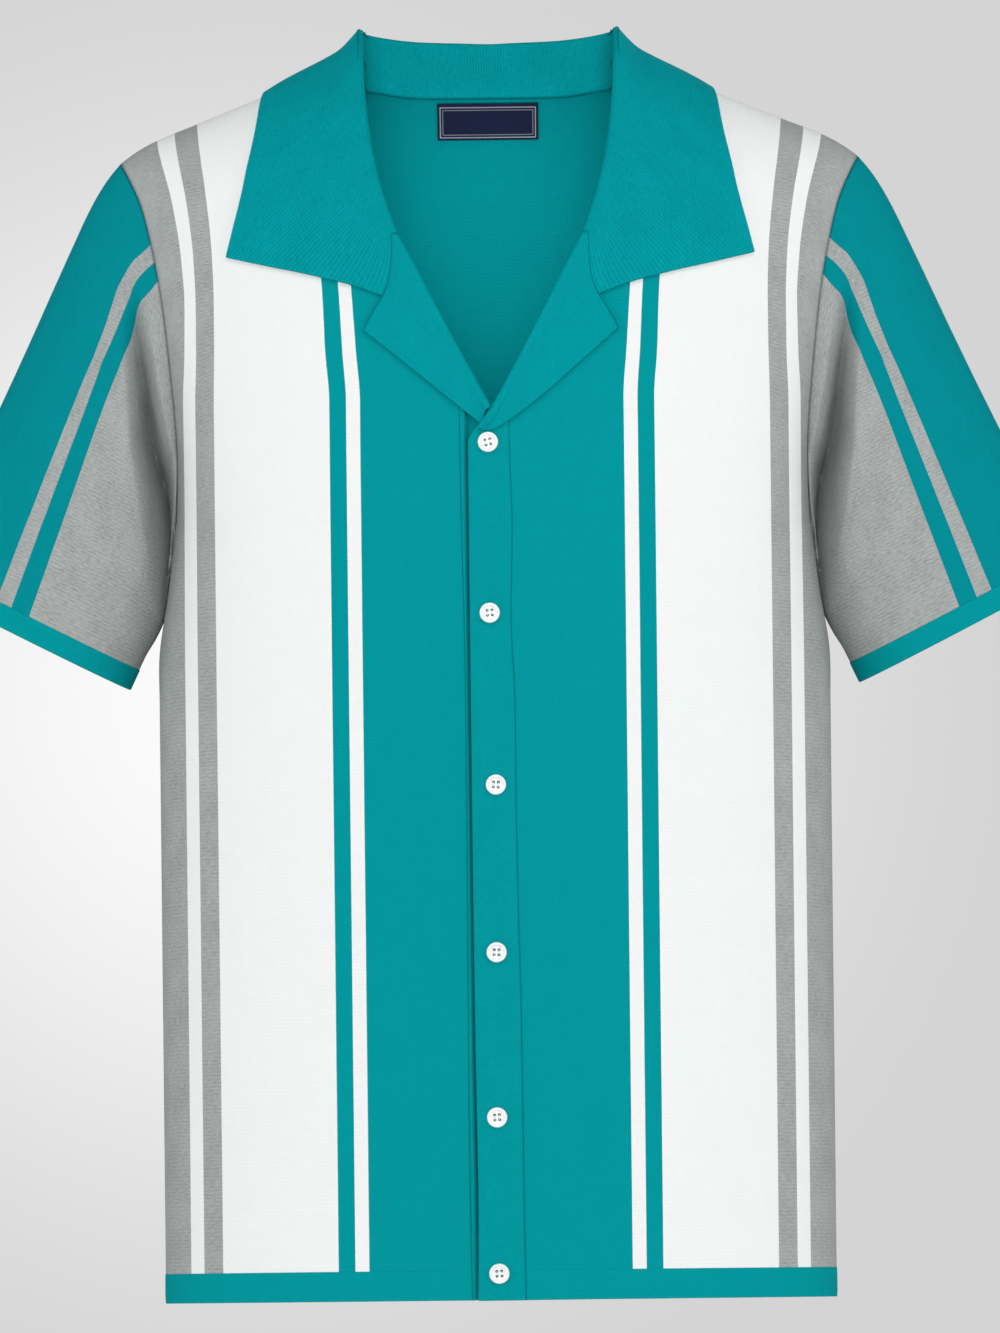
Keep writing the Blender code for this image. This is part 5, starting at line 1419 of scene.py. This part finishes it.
class SHIRT_OT_sleeves(bpy.types.Operator):
    """Makes both sleeves with their cuff bands"""
    bl_idname = "shirt.sleeves"
    bl_label = "Sleeves"

    def execute(self, context):
        sizes, colours = context.scene.shirt_sizes, context.scene.shirt_colours
        front = front_grid(BAND_SEAM_X, False)[:ARMHOLE_STEPS + 1, -1]
        back = back_grid()[:ARMHOLE_STEPS + 1, -1]
        turn = np.linspace(0.0, 2 * math.pi, 2 * ARMHOLE_STEPS + 1)[:-1, None]
        band_t = sleeve_band_start(turn, front, back)
        steps = FIRST_T + np.array(SLEEVE_STEPS) * (band_t - FIRST_T)
        sleeve = sleeve_points(turn, steps, front, back)
        cuff_steps = band_t + np.array([0.0, 0.5, 1.0]) * (1.0 - band_t)
        cuff = sleeve_points(turn, cuff_steps, front, back)
        plain = band_finish(colours)
        striped = knit_finish("sleeve knit", colours.sleeve, wale=0.0013, course=0.0021, rib=0.25,
                              uneven=0.08, bands=sleeve_bands(colours),
                              heather=(1.0, 0.2, 1.0, 0.3), sewn=True)
        for side in ("left", "right"):
            grid = rings_made_finer(sleeve, SLEEVE_ROW_TIMES)
            share = run_along(grid, 1)
            share = share / share[:, -1:]
            way = 2 * math.pi * np.arange(len(grid))[:, None] / len(grid)
            grid = sleeve_folds(grid, share, way)
            stripe = stripe_place(grid[..., 0], grid[..., 2], SLEEVE_STRIPE_ROWS,
                                  SLEEVE_STRIPE_LETTERS)
            self.tube("sleeve_" + side, "_cloth", side, grid, tube_normals(grid), sizes.knit,
                      striped, "front_%s_cloth" % side, stripe=stripe, seam=run_along(grid, 1),
                      slot="sleeve_knit")
            grid = rings_made_finer(cuff, CUFF_ROW_TIMES)
            normals = tube_normals(grid)
            self.tube("cuff_" + side, "_band", side, grid + normals * HEM_PROUD, normals,
                      sizes.knit + HEM_PROUD, plain, "sleeve_%s_cloth" % side, soften=BAND_EDGE,
                      slot="teal_rib")
        return {"FINISHED"}

    def tube(self, node, kind, side, grid, normals, thickness, finish, rests_on, **looks):
        """A tube of cloth round the arm: made on the +X side, and mirrored for the right."""
        looped = np.concatenate([grid, grid[:1]])
        u = run_along(looped, 0)
        v = run_along(looped[:, ::-1], 1)[:, ::-1]
        flip = mirrored if side == "right" else np.copy
        made = cloth(node + kind, flip(grid), thickness, flip(normals), u, v, finish, [node],
                     closed=True, **looks)
        sheet(looped, u, v)


# ---- collar and lapels -----------------------------------------------------------------
COLLAR_TIMES = 5
LAPEL_TIMES = 8
COLLAR_MIDDLE = 4 * COLLAR_TIMES   # column of the collar whose length its cloth is measured on
LAPEL_MIDDLE = 5 * COLLAR_TIMES    # the same for a lapel


def cornered(control):
    """The collar's rows made finer: round at the roll, but with sharp tips at the outer edge."""
    tip = COLLAR_STATIONS.index(COLLAR_FRONT_EDGE_ROWS[-1]["u"])
    cuts = [0, tip, len(control) - 1 - tip, len(control) - 1]
    parts = [finer(control[a:b + 1], COLLAR_TIMES) for a, b in zip(cuts[:-1], cuts[1:])]
    sharp = np.concatenate([parts[0], parts[1][1:], parts[2][1:]])
    out = (np.linspace(0.0, 1.0, control.shape[1]) ** 2)[None, :, None]
    return finer(control, COLLAR_TIMES) * (1 - out) + sharp * out


class SHIRT_OT_collar(bpy.types.Operator):
    """Makes the rolled collar and the two lapels below it"""
    bl_idname = "shirt.collar"
    bl_label = "Collar and lapels"

    def execute(self, context):
        sizes, colours = context.scene.shirt_sizes, context.scene.shirt_colours
        rib = knit_finish("collar rib", colours.collar, wale=0.0017, course=0.0016, rib=0.85,
                          uneven=0.55, lines=0.10, dents=0.0004, sewn=True)
        half = collar_half()
        control = np.concatenate([half, mirrored(half[-2::-1])])
        grid = finer(cornered(control), COLLAR_TIMES, axis=1)
        up = np.zeros_like(grid)
        up[:, COLLAR_MIDDLE, 2] = 1.0
        normals = toward(grid_normals(grid), up)
        u = run_along(grid, 0)
        u = np.repeat(u[:, COLLAR_MIDDLE][:, None], grid.shape[1], axis=1)
        v = run_along(grid, 1)
        made = cloth("collar_rib", grid, sizes.rib, normals, u, v, rib, ["collar"], seam=v,
                     soften=0.0007, slot="teal_rib")
        sheet(grid, u, v)
        knit = knit_finish("lapel knit", colours.collar, wale=0.0014, course=0.0017, rib=0.35,
                           uneven=0.38, lines=0.04, dents=0.0002, sewn=True)
        for side in ("left", "right"):
            control = lapel_grid(side, half[0])
            grid = finer(finer(control, LAPEL_TIMES), COLLAR_TIMES, axis=1)
            reference = np.zeros_like(grid)
            reference[..., 1] = -1.0
            normals = toward(grid_normals(grid), reference)
            u = run_along(grid, 1)
            v = run_along(grid[::-1], 0)[::-1]
            v = np.repeat(v[:, LAPEL_MIDDLE][:, None], grid.shape[1], axis=1)
            seam = run_along(grid, 0)
            flip = mirrored if side == "right" else np.copy
            made = cloth("lapel_%s_cloth" % side, flip(grid), sizes.rib, flip(normals), u, v, knit,
                         ["lapel_" + side], seam=seam, soften=0.0006, slot="teal_knit")
            sheet(grid, u, v)
        return {"FINISHED"}


# ---- label and buttons -----------------------------------------------------------------
LABEL = {"left": -0.0300, "right": 0.0287, "top": -0.0100, "bottom": -0.0299, "thick": 0.0010}
LABEL_CLEARANCE = 0.0006
BACK_WALL = 0.0016         # wall of the back's solid, inside which the label hangs
WEFT = 0.0005              # height of one row of the label's weave
WEFT_HEIGHT = 0.3
# The two border lines: distance from the label's edge, half width, and how bright they are.
LABEL_LINES = [(0.0016, 0.0003, 1.0), (0.0031, 0.00022, 0.7)]


def label_finish(colours):
    """Fine satin weave with two thin woven border lines and nothing inside them."""
    made, nodes, shader = new_finish("woven label")
    place = nodes.add("ShaderNodeUVMap", uv_map="cloth").outputs[0]
    split = nodes.add("ShaderNodeSeparateXYZ", {0: place}).outputs
    half_sizes = ((LABEL["right"] - LABEL["left"]) / 2, (LABEL["top"] - LABEL["bottom"]) / 2)
    from_edge = []
    for value, half in zip(split, half_sizes):
        off = nodes.sum("ABSOLUTE", nodes.sum("SUBTRACT", value, half))
        from_edge.append(nodes.sum("SUBTRACT", half, off))
    inside = nodes.sum("MINIMUM", *from_edge)
    lines = [nodes.sum("MULTIPLY", nodes.sum("COMPARE", inside, at, half), bright)
             for at, half, bright in LABEL_LINES]
    line = nodes.sum("MAXIMUM", *lines)
    weave = nodes.sum("SINE", nodes.sum("MULTIPLY", split[1], 2 * math.pi / WEFT))
    rise = nodes.sum("MULTIPLY_ADD", weave, WEFT_HEIGHT, line)
    nodes.tree.links.new(nodes.mix(line, colours.label, colours.border),
                         shader.inputs["Base Color"])
    bump = nodes.add("ShaderNodeBump", {"Height": rise, "Strength": 0.5, "Distance": 0.0001})
    nodes.tree.links.new(bump.outputs[0], shader.inputs["Normal"])
    shader.inputs["Roughness"].default_value = 0.7
    shader.inputs["Specular IOR Level"].default_value = 0.1
    return made


class SHIRT_OT_label(bpy.types.Operator):
    """Makes the bare woven label inside the back of the neck"""
    bl_idname = "shirt.label"
    bl_label = "Label"

    def execute(self, context):
        colours = context.scene.shirt_colours
        x = np.linspace(LABEL["left"], LABEL["right"], 41)[None, :]
        z = np.linspace(LABEL["top"], LABEL["bottom"], 17)[:, None]
        lift = -(BACK_WALL + LABEL_CLEARANCE + LABEL["thick"])
        grid, normals = on_body("back", x, z, lift)
        u = np.broadcast_to(x - LABEL["left"], grid.shape[:2]).copy()
        v = np.broadcast_to(z - LABEL["bottom"], grid.shape[:2]).copy()
        made = cloth("label_weave", grid, LABEL["thick"], -normals, u, v, label_finish(colours),
                     ["label"], soften=0.0002, slot="label_weave")
        sheet(grid, u, v)
        return {"FINISHED"}


BUTTON_CURVE = [           # height over the radius, both as shares, from the middle outwards
    {"r": 0.00, "h": 0.60},
    {"r": 0.45, "h": 0.62},
    {"r": 0.66, "h": 0.70},
    {"r": 0.76, "h": 0.95},
    {"r": 0.86, "h": 1.00},
    {"r": 0.95, "h": 0.92},
    {"r": 1.00, "h": 0.66},
]
# The button's underside, from its rim to its middle: radius and height, both as shares.
BUTTON_UNDERSIDE = [(1.0, 0.35), (0.93, 0.10), (0.80, 0.0), (0.02, 0.0)]
BUTTON_RINGS = np.concatenate([[0.02], np.linspace(0.10, 0.45, 16), np.linspace(0.50, 1.0, 16)])
BUTTON_LEANS = [12, 4, -3, -2, 4, 3]   # degrees by which each is turned, from the top one down
BUTTON_TURNS = 96
BUTTON_SHARP_EDGE = math.radians(45)
HOLE_PLACE = 0.00132       # a hole's distance from the middle, across and up
HOLE_RADIUS = 0.00074
HOLE_WALL_FROM = 0.8       # the hole's wall starts at this share of its radius
HOLE_WALL = 0.45           # and takes this share of it
HOLE_DEPTH = 0.45          # share of the button's height
# Painted shade in the thread holes: a dark grey-teal, tinted with the teal of the cloth below.
HOLE_SHADE_COLOUR = (0.03, 0.09, 0.09)
THREAD_RADIUS = 0.00024
THREAD_REACH = 1.12        # a stitch's half length in HOLE_PLACE
THREAD_HEIGHT = 0.62       # height of a stitch's ends as a share of the button's, and of its arch
THREAD_ARCH = 0.10
THREAD_BEND_FROM = 0.75    # past this share of its half length a stitch dips into its hole
THREAD_DIP = 0.35
THREAD_STEPS = 13
THREAD_SIDES = 8


def button_finish(colours):
    """Polished white resin, with painted shade inside the thread holes, tinted with the teal of the
    cloth below.
    """
    made, nodes, shader = new_finish("button resin")
    hole = nodes.add("ShaderNodeAttribute", attribute_name="seam").outputs["Fac"]
    nodes.tree.links.new(nodes.mix(hole, colours.button, HOLE_SHADE_COLOUR), shader.inputs["Base Color"])
    shader.inputs["Roughness"].default_value = 0.22
    shader.inputs["Subsurface Weight"].default_value = 0.1
    shader.inputs["Subsurface Radius"].default_value = (0.002, 0.002, 0.002)
    return made


class SHIRT_OT_buttons(bpy.types.Operator):
    """Makes the six four-hole buttons and the thread that holds them"""
    bl_idname = "shirt.buttons"
    bl_label = "Buttons"

    def execute(self, context):
        sizes, colours = context.scene.shirt_sizes, context.scene.shirt_colours
        finish = button_finish(colours)
        thread = knit_finish("button thread", colours.button, wale=0.0004, course=0.0004)
        radius = sizes.button / 2
        turn = np.linspace(0.0, 2 * math.pi, BUTTON_TURNS + 1)[:-1]
        across = radius * BUTTON_RINGS[None, :] * np.cos(turn)[:, None]
        upward = radius * BUTTON_RINGS[None, :] * np.sin(turn)[:, None]
        apart = np.hypot(np.abs(across) - HOLE_PLACE, np.abs(upward) - HOLE_PLACE)
        hole = 1 - smooth_step((apart / HOLE_RADIUS - HOLE_WALL_FROM) / HOLE_WALL)
        height = table(BUTTON_CURVE, "h", np.broadcast_to(BUTTON_RINGS, apart.shape), key="r")
        height = (height - HOLE_DEPTH * hole) * sizes.button_height
        for number, (row, degrees) in enumerate(zip(BUTTON_ROWS, BUTTON_LEANS), start=1):
            centre, normal = on_body("front", row["x"], row["z"], LAP + BAND_PROUD + GAP)
            right = unit(np.cross(np.array([0.0, 0.0, 1.0]), normal))
            up = np.cross(normal, right)
            lean = math.radians(degrees)
            right, up = (right * math.cos(lean) + up * math.sin(lean),
                         up * math.cos(lean) - right * math.sin(lean))
            grid = (centre + across[..., None] * right + upward[..., None] * up
                    + height[..., None] * normal)
            around = np.cos(turn)[:, None] * right + np.sin(turn)[:, None] * up
            back = np.stack([centre + radius * r * around + h * sizes.button_height * normal
                             for r, h in BUTTON_UNDERSIDE], axis=1)
            plain = np.zeros((BUTTON_TURNS, len(BUTTON_UNDERSIDE)))
            self.lathe("button_%d_resin" % number, np.concatenate([grid, back], axis=1),
                       np.concatenate([hole, plain], axis=1), finish, "button_%d" % number)
            self.stitches("button_%d_thread" % number, centre, right, up, normal, sizes, thread)
        return {"FINISHED"}

    def lathe(self, name, grid, hole, finish, node):
        """A closed round body from its rings, with a small cap at the middle of each face."""
        turns, rings = grid.shape[:2]
        number = np.arange(turns * rings).reshape(turns, rings)
        around = np.concatenate([number, number[:1]])
        faces = quads(around).tolist() + [number[::-1, 0].tolist(), number[:, -1].tolist()]
        mesh = closed_mesh(name, grid.reshape(-1, 3), faces)
        add_values(mesh, "seam", hole)
        made = placed(name, mesh, finish, sharp=BUTTON_SHARP_EDGE)
        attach(made, "root")
        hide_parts(node)

    def stitches(self, name, centre, right, up, normal, sizes, finish):
        """Two thread bars, each a thin arched tube from one hole to the next."""
        along = np.linspace(-1.0, 1.0, THREAD_STEPS)
        turn = np.linspace(0.0, 2 * math.pi, THREAD_SIDES + 1)[:-1]
        past = np.maximum(np.abs(along) - THREAD_BEND_FROM, 0.0) / (1.0 - THREAD_BEND_FROM)
        arch = THREAD_HEIGHT + THREAD_ARCH * (1 - along ** 4) - THREAD_DIP * past
        path = (centre + (along * HOLE_PLACE * THREAD_REACH)[:, None] * up
                + (arch * sizes.button_height)[:, None] * normal)
        ring = np.cos(turn)[:, None] * right + np.sin(turn)[:, None] * normal
        tube = path[:, None, :] + ring[None] * THREAD_RADIUS
        number = np.arange(THREAD_STEPS * THREAD_SIDES).reshape(THREAD_STEPS, THREAD_SIDES)
        around = np.concatenate([number, number[:, :1]], axis=1)
        sides = quads(around).tolist() + [number[0].tolist(), number[-1, ::-1].tolist()]
        points = np.concatenate([(tube + way * HOLE_PLACE * right).reshape(-1, 3)
                                 for way in (-1.0, 1.0)])
        faces = sides + [[corner + number.size for corner in face] for face in sides]
        mesh = closed_mesh(name, points, faces)
        mesh.uv_layers.new(name="cloth")
        made = placed(name, mesh, finish, sharp=math.pi)
        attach(made, "root")


def closed_mesh(name, points, faces):
    """A closed mesh whose faces point outwards."""
    mesh = bpy.data.meshes.new(name)
    mesh.from_pydata(points.tolist(), [], faces)
    if signed_volume(mesh) < 0:
        mesh.flip_normals()
    return mesh


def signed_volume(mesh):
    """Volume inside a closed mesh: negative where its faces point inwards."""
    mesh.calc_loop_triangles()
    corner = np.empty(len(mesh.loop_triangles) * 3, dtype=np.int64)
    mesh.loop_triangles.foreach_get("vertices", corner)
    place = np.empty(len(mesh.vertices) * 3)
    mesh.vertices.foreach_get("co", place)
    a, b, c = place.reshape(-1, 3)[corner].reshape(-1, 3, 3).transpose(1, 0, 2)
    return float(np.sum(a * np.cross(b, c)) / 6)


# ---- stage ---------------------------------------------------------------------------
VIEW_CENTRE = (0.003, -0.339)
VIEW_ROLL = 0.62           # degrees by which the shirt leans in the picture
MIDDLE = (0.0, 0.0, -0.35)
FLOOR_REACH = 3.0
# Soft lights that face the shirt's middle: place, width, and share of the studio's power.
LIGHT_ROWS = [
    {"name": "front light", "place": (-0.10, -4.6, 0.05), "size": 1.2, "share": 0.60},
    {"name": "top light", "place": (0.2, -2.7, 2.3), "size": 1.6, "share": 0.22},
    {"name": "left light", "place": (-2.8, -2.3, 0.3), "size": 1.8, "share": 0.16},
    {"name": "right light", "place": (2.8, -2.3, 0.3), "size": 1.8, "share": 0.20},
    {"name": "left side light", "place": (-3.2, 0.4, 0.3), "size": 2.0, "share": 0.20},
    {"name": "right side light", "place": (3.2, 0.4, 0.3), "size": 2.0, "share": 0.20},
    {"name": "back light", "place": (0.3, 3.6, 0.8), "size": 2.0, "share": 0.55},
]
# A small light that takes the place of the light that the inner cloth throws on the back.
NECK_LIGHT = {"name": "neck light", "place": (0.0, 0.010, -0.072), "size": 0.10, "share": 0.00040}
NECK_TARGET = (0.0, 0.1, -0.078)
# The backdrop, with a painted pool of light: direction of its palest place, the angle's tangent to its
# edge, and both tones.
BACKDROP = {"centre": (-0.0358, 1.0, -0.0034), "reach": 0.116, "pale": 0.97, "edge": 0.658}


def softbox(row, target, key):
    """A square area light that faces the target."""
    light = bpy.data.lights.new(row["name"], "AREA")
    light.shape = "SQUARE"
    light.size = row["size"]
    light.energy = key * row["share"]
    made = bpy.data.objects.new(row["name"], light)
    made.location = row["place"]
    facing = Vector(target) - Vector(row["place"])
    made.rotation_euler = facing.to_track_quat("-Z", "Y").to_euler()
    bpy.context.scene.collection.objects.link(made)
    return made


def studio_world(world):
    """Even pale light, and behind the shirt a soft grey backdrop with a painted pool of light, palest
    low on the left.
    """
    world.use_nodes = True
    nodes = Nodes(world.node_tree)
    world.node_tree.nodes.clear()
    way = nodes.add("ShaderNodeTexCoord").outputs["Generated"]
    off = nodes.add("ShaderNodeVectorMath", {0: way, 1: BACKDROP["centre"]},
                    operation="SUBTRACT").outputs[0]
    flat = nodes.add("ShaderNodeVectorMath", {0: off, 1: (1.0, 0.0, 1.0)},
                     operation="MULTIPLY").outputs[0]
    away = nodes.add("ShaderNodeVectorMath", {0: flat}, operation="LENGTH").outputs["Value"]
    # painted pool of light on the backdrop, fading towards its edge
    painted_light_tone = nodes.step(away, 0.0, BACKDROP["reach"], BACKDROP["pale"], BACKDROP["edge"])
    seen = nodes.add("ShaderNodeBackground", {"Color": painted_light_tone, "Strength": 1.0})
    light = nodes.add("ShaderNodeBackground", {"Color": (0.99, 0.995, 1.0, 1.0), "Strength": 0.30})
    which = nodes.add("ShaderNodeLightPath").outputs["Is Camera Ray"]
    mix = nodes.add("ShaderNodeMixShader", {0: which, 1: light.outputs[0], 2: seen.outputs[0]})
    nodes.add("ShaderNodeOutputWorld", {"Surface": mix.outputs[0]})


class SHIRT_OT_stage(bpy.types.Operator):
    """Sets the pale floor, the soft studio light and the camera"""
    bl_idname = "shirt.stage"
    bl_label = "Stage"

    def execute(self, context):
        scene = context.scene
        studio = scene.shirt_studio
        world = bpy.data.worlds.new("Studio")
        scene.world = world
        studio_world(world)
        scene.view_settings.view_transform = "Standard"
        pale, _, shader = new_finish("pale floor")
        shader.inputs["Base Color"].default_value = (0.70, 0.70, 0.70, 1.0)
        shader.inputs["Roughness"].default_value = 0.8
        mesh = bpy.data.meshes.new("floor")
        corners = [(x * FLOOR_REACH, y * FLOOR_REACH, studio.floor)
                   for x, y in ((-1, -1), (1, -1), (1, 1), (-1, 1))]
        mesh.from_pydata(corners, [], [(0, 1, 2, 3)])
        placed("floor", mesh, pale)
        for row in LIGHT_ROWS:
            softbox(row, MIDDLE, studio.key)
        softbox(NECK_LIGHT, NECK_TARGET, studio.key).visible_camera = False
        lens = bpy.data.cameras.new("camera")
        lens.sensor_fit = "VERTICAL"
        lens.sensor_height = 36.0
        lens.lens = studio.lens
        lens.clip_end = 60.0
        camera = bpy.data.objects.new("camera", lens)
        camera.location = (VIEW_CENTRE[0], -studio.distance, VIEW_CENTRE[1])
        camera.rotation_mode = "XYZ"
        camera.rotation_euler = (math.pi / 2, math.radians(VIEW_ROLL), 0.0)
        scene.collection.objects.link(camera)
        scene.camera = camera
        return {"FINISHED"}


class SHIRT_PT_panel(bpy.types.Panel):
    """Sizes, colours and one button for each group of pieces"""
    bl_label = "Polo shirt"
    bl_idname = "SHIRT_PT_panel"
    bl_space_type = "VIEW_3D"
    bl_region_type = "UI"
    bl_category = "Polo shirt"

    def draw(self, context):
        for group in (context.scene.shirt_sizes, context.scene.shirt_colours,
                      context.scene.shirt_studio):
            for key in group.bl_rna.properties.keys():
                if key not in ("rna_type", "name"):
                    self.layout.prop(group, key)
        for kind in OPERATORS:
            self.layout.operator(kind.bl_idname)


GROUPS = (ShirtSizes, ShirtColours, StudioSettings)
OPERATORS = (SHIRT_OT_body, SHIRT_OT_placket, SHIRT_OT_sleeves, SHIRT_OT_collar, SHIRT_OT_label,
             SHIRT_OT_buttons, SHIRT_OT_stage)


def register():
    """Adds the classes and the three groups of settings."""
    for kind in GROUPS + OPERATORS + (SHIRT_PT_panel,):
        bpy.utils.register_class(kind)
    bpy.types.Scene.shirt_sizes = PointerProperty(type=ShirtSizes)
    bpy.types.Scene.shirt_colours = PointerProperty(type=ShirtColours)
    bpy.types.Scene.shirt_studio = PointerProperty(type=StudioSettings)


def unregister():
    """Removes what register added."""
    del bpy.types.Scene.shirt_sizes
    del bpy.types.Scene.shirt_colours
    del bpy.types.Scene.shirt_studio
    for kind in reversed(GROUPS + OPERATORS + (SHIRT_PT_panel,)):
        bpy.utils.unregister_class(kind)


def main():
    """Makes the shirt piece by piece and its stage."""
    register()
    bpy.ops.shirt.body()
    bpy.ops.shirt.placket()
    bpy.ops.shirt.sleeves()
    bpy.ops.shirt.collar()
    bpy.ops.shirt.label()
    bpy.ops.shirt.buttons()
    bpy.ops.shirt.stage()


if __name__ == "__main__":
    main()
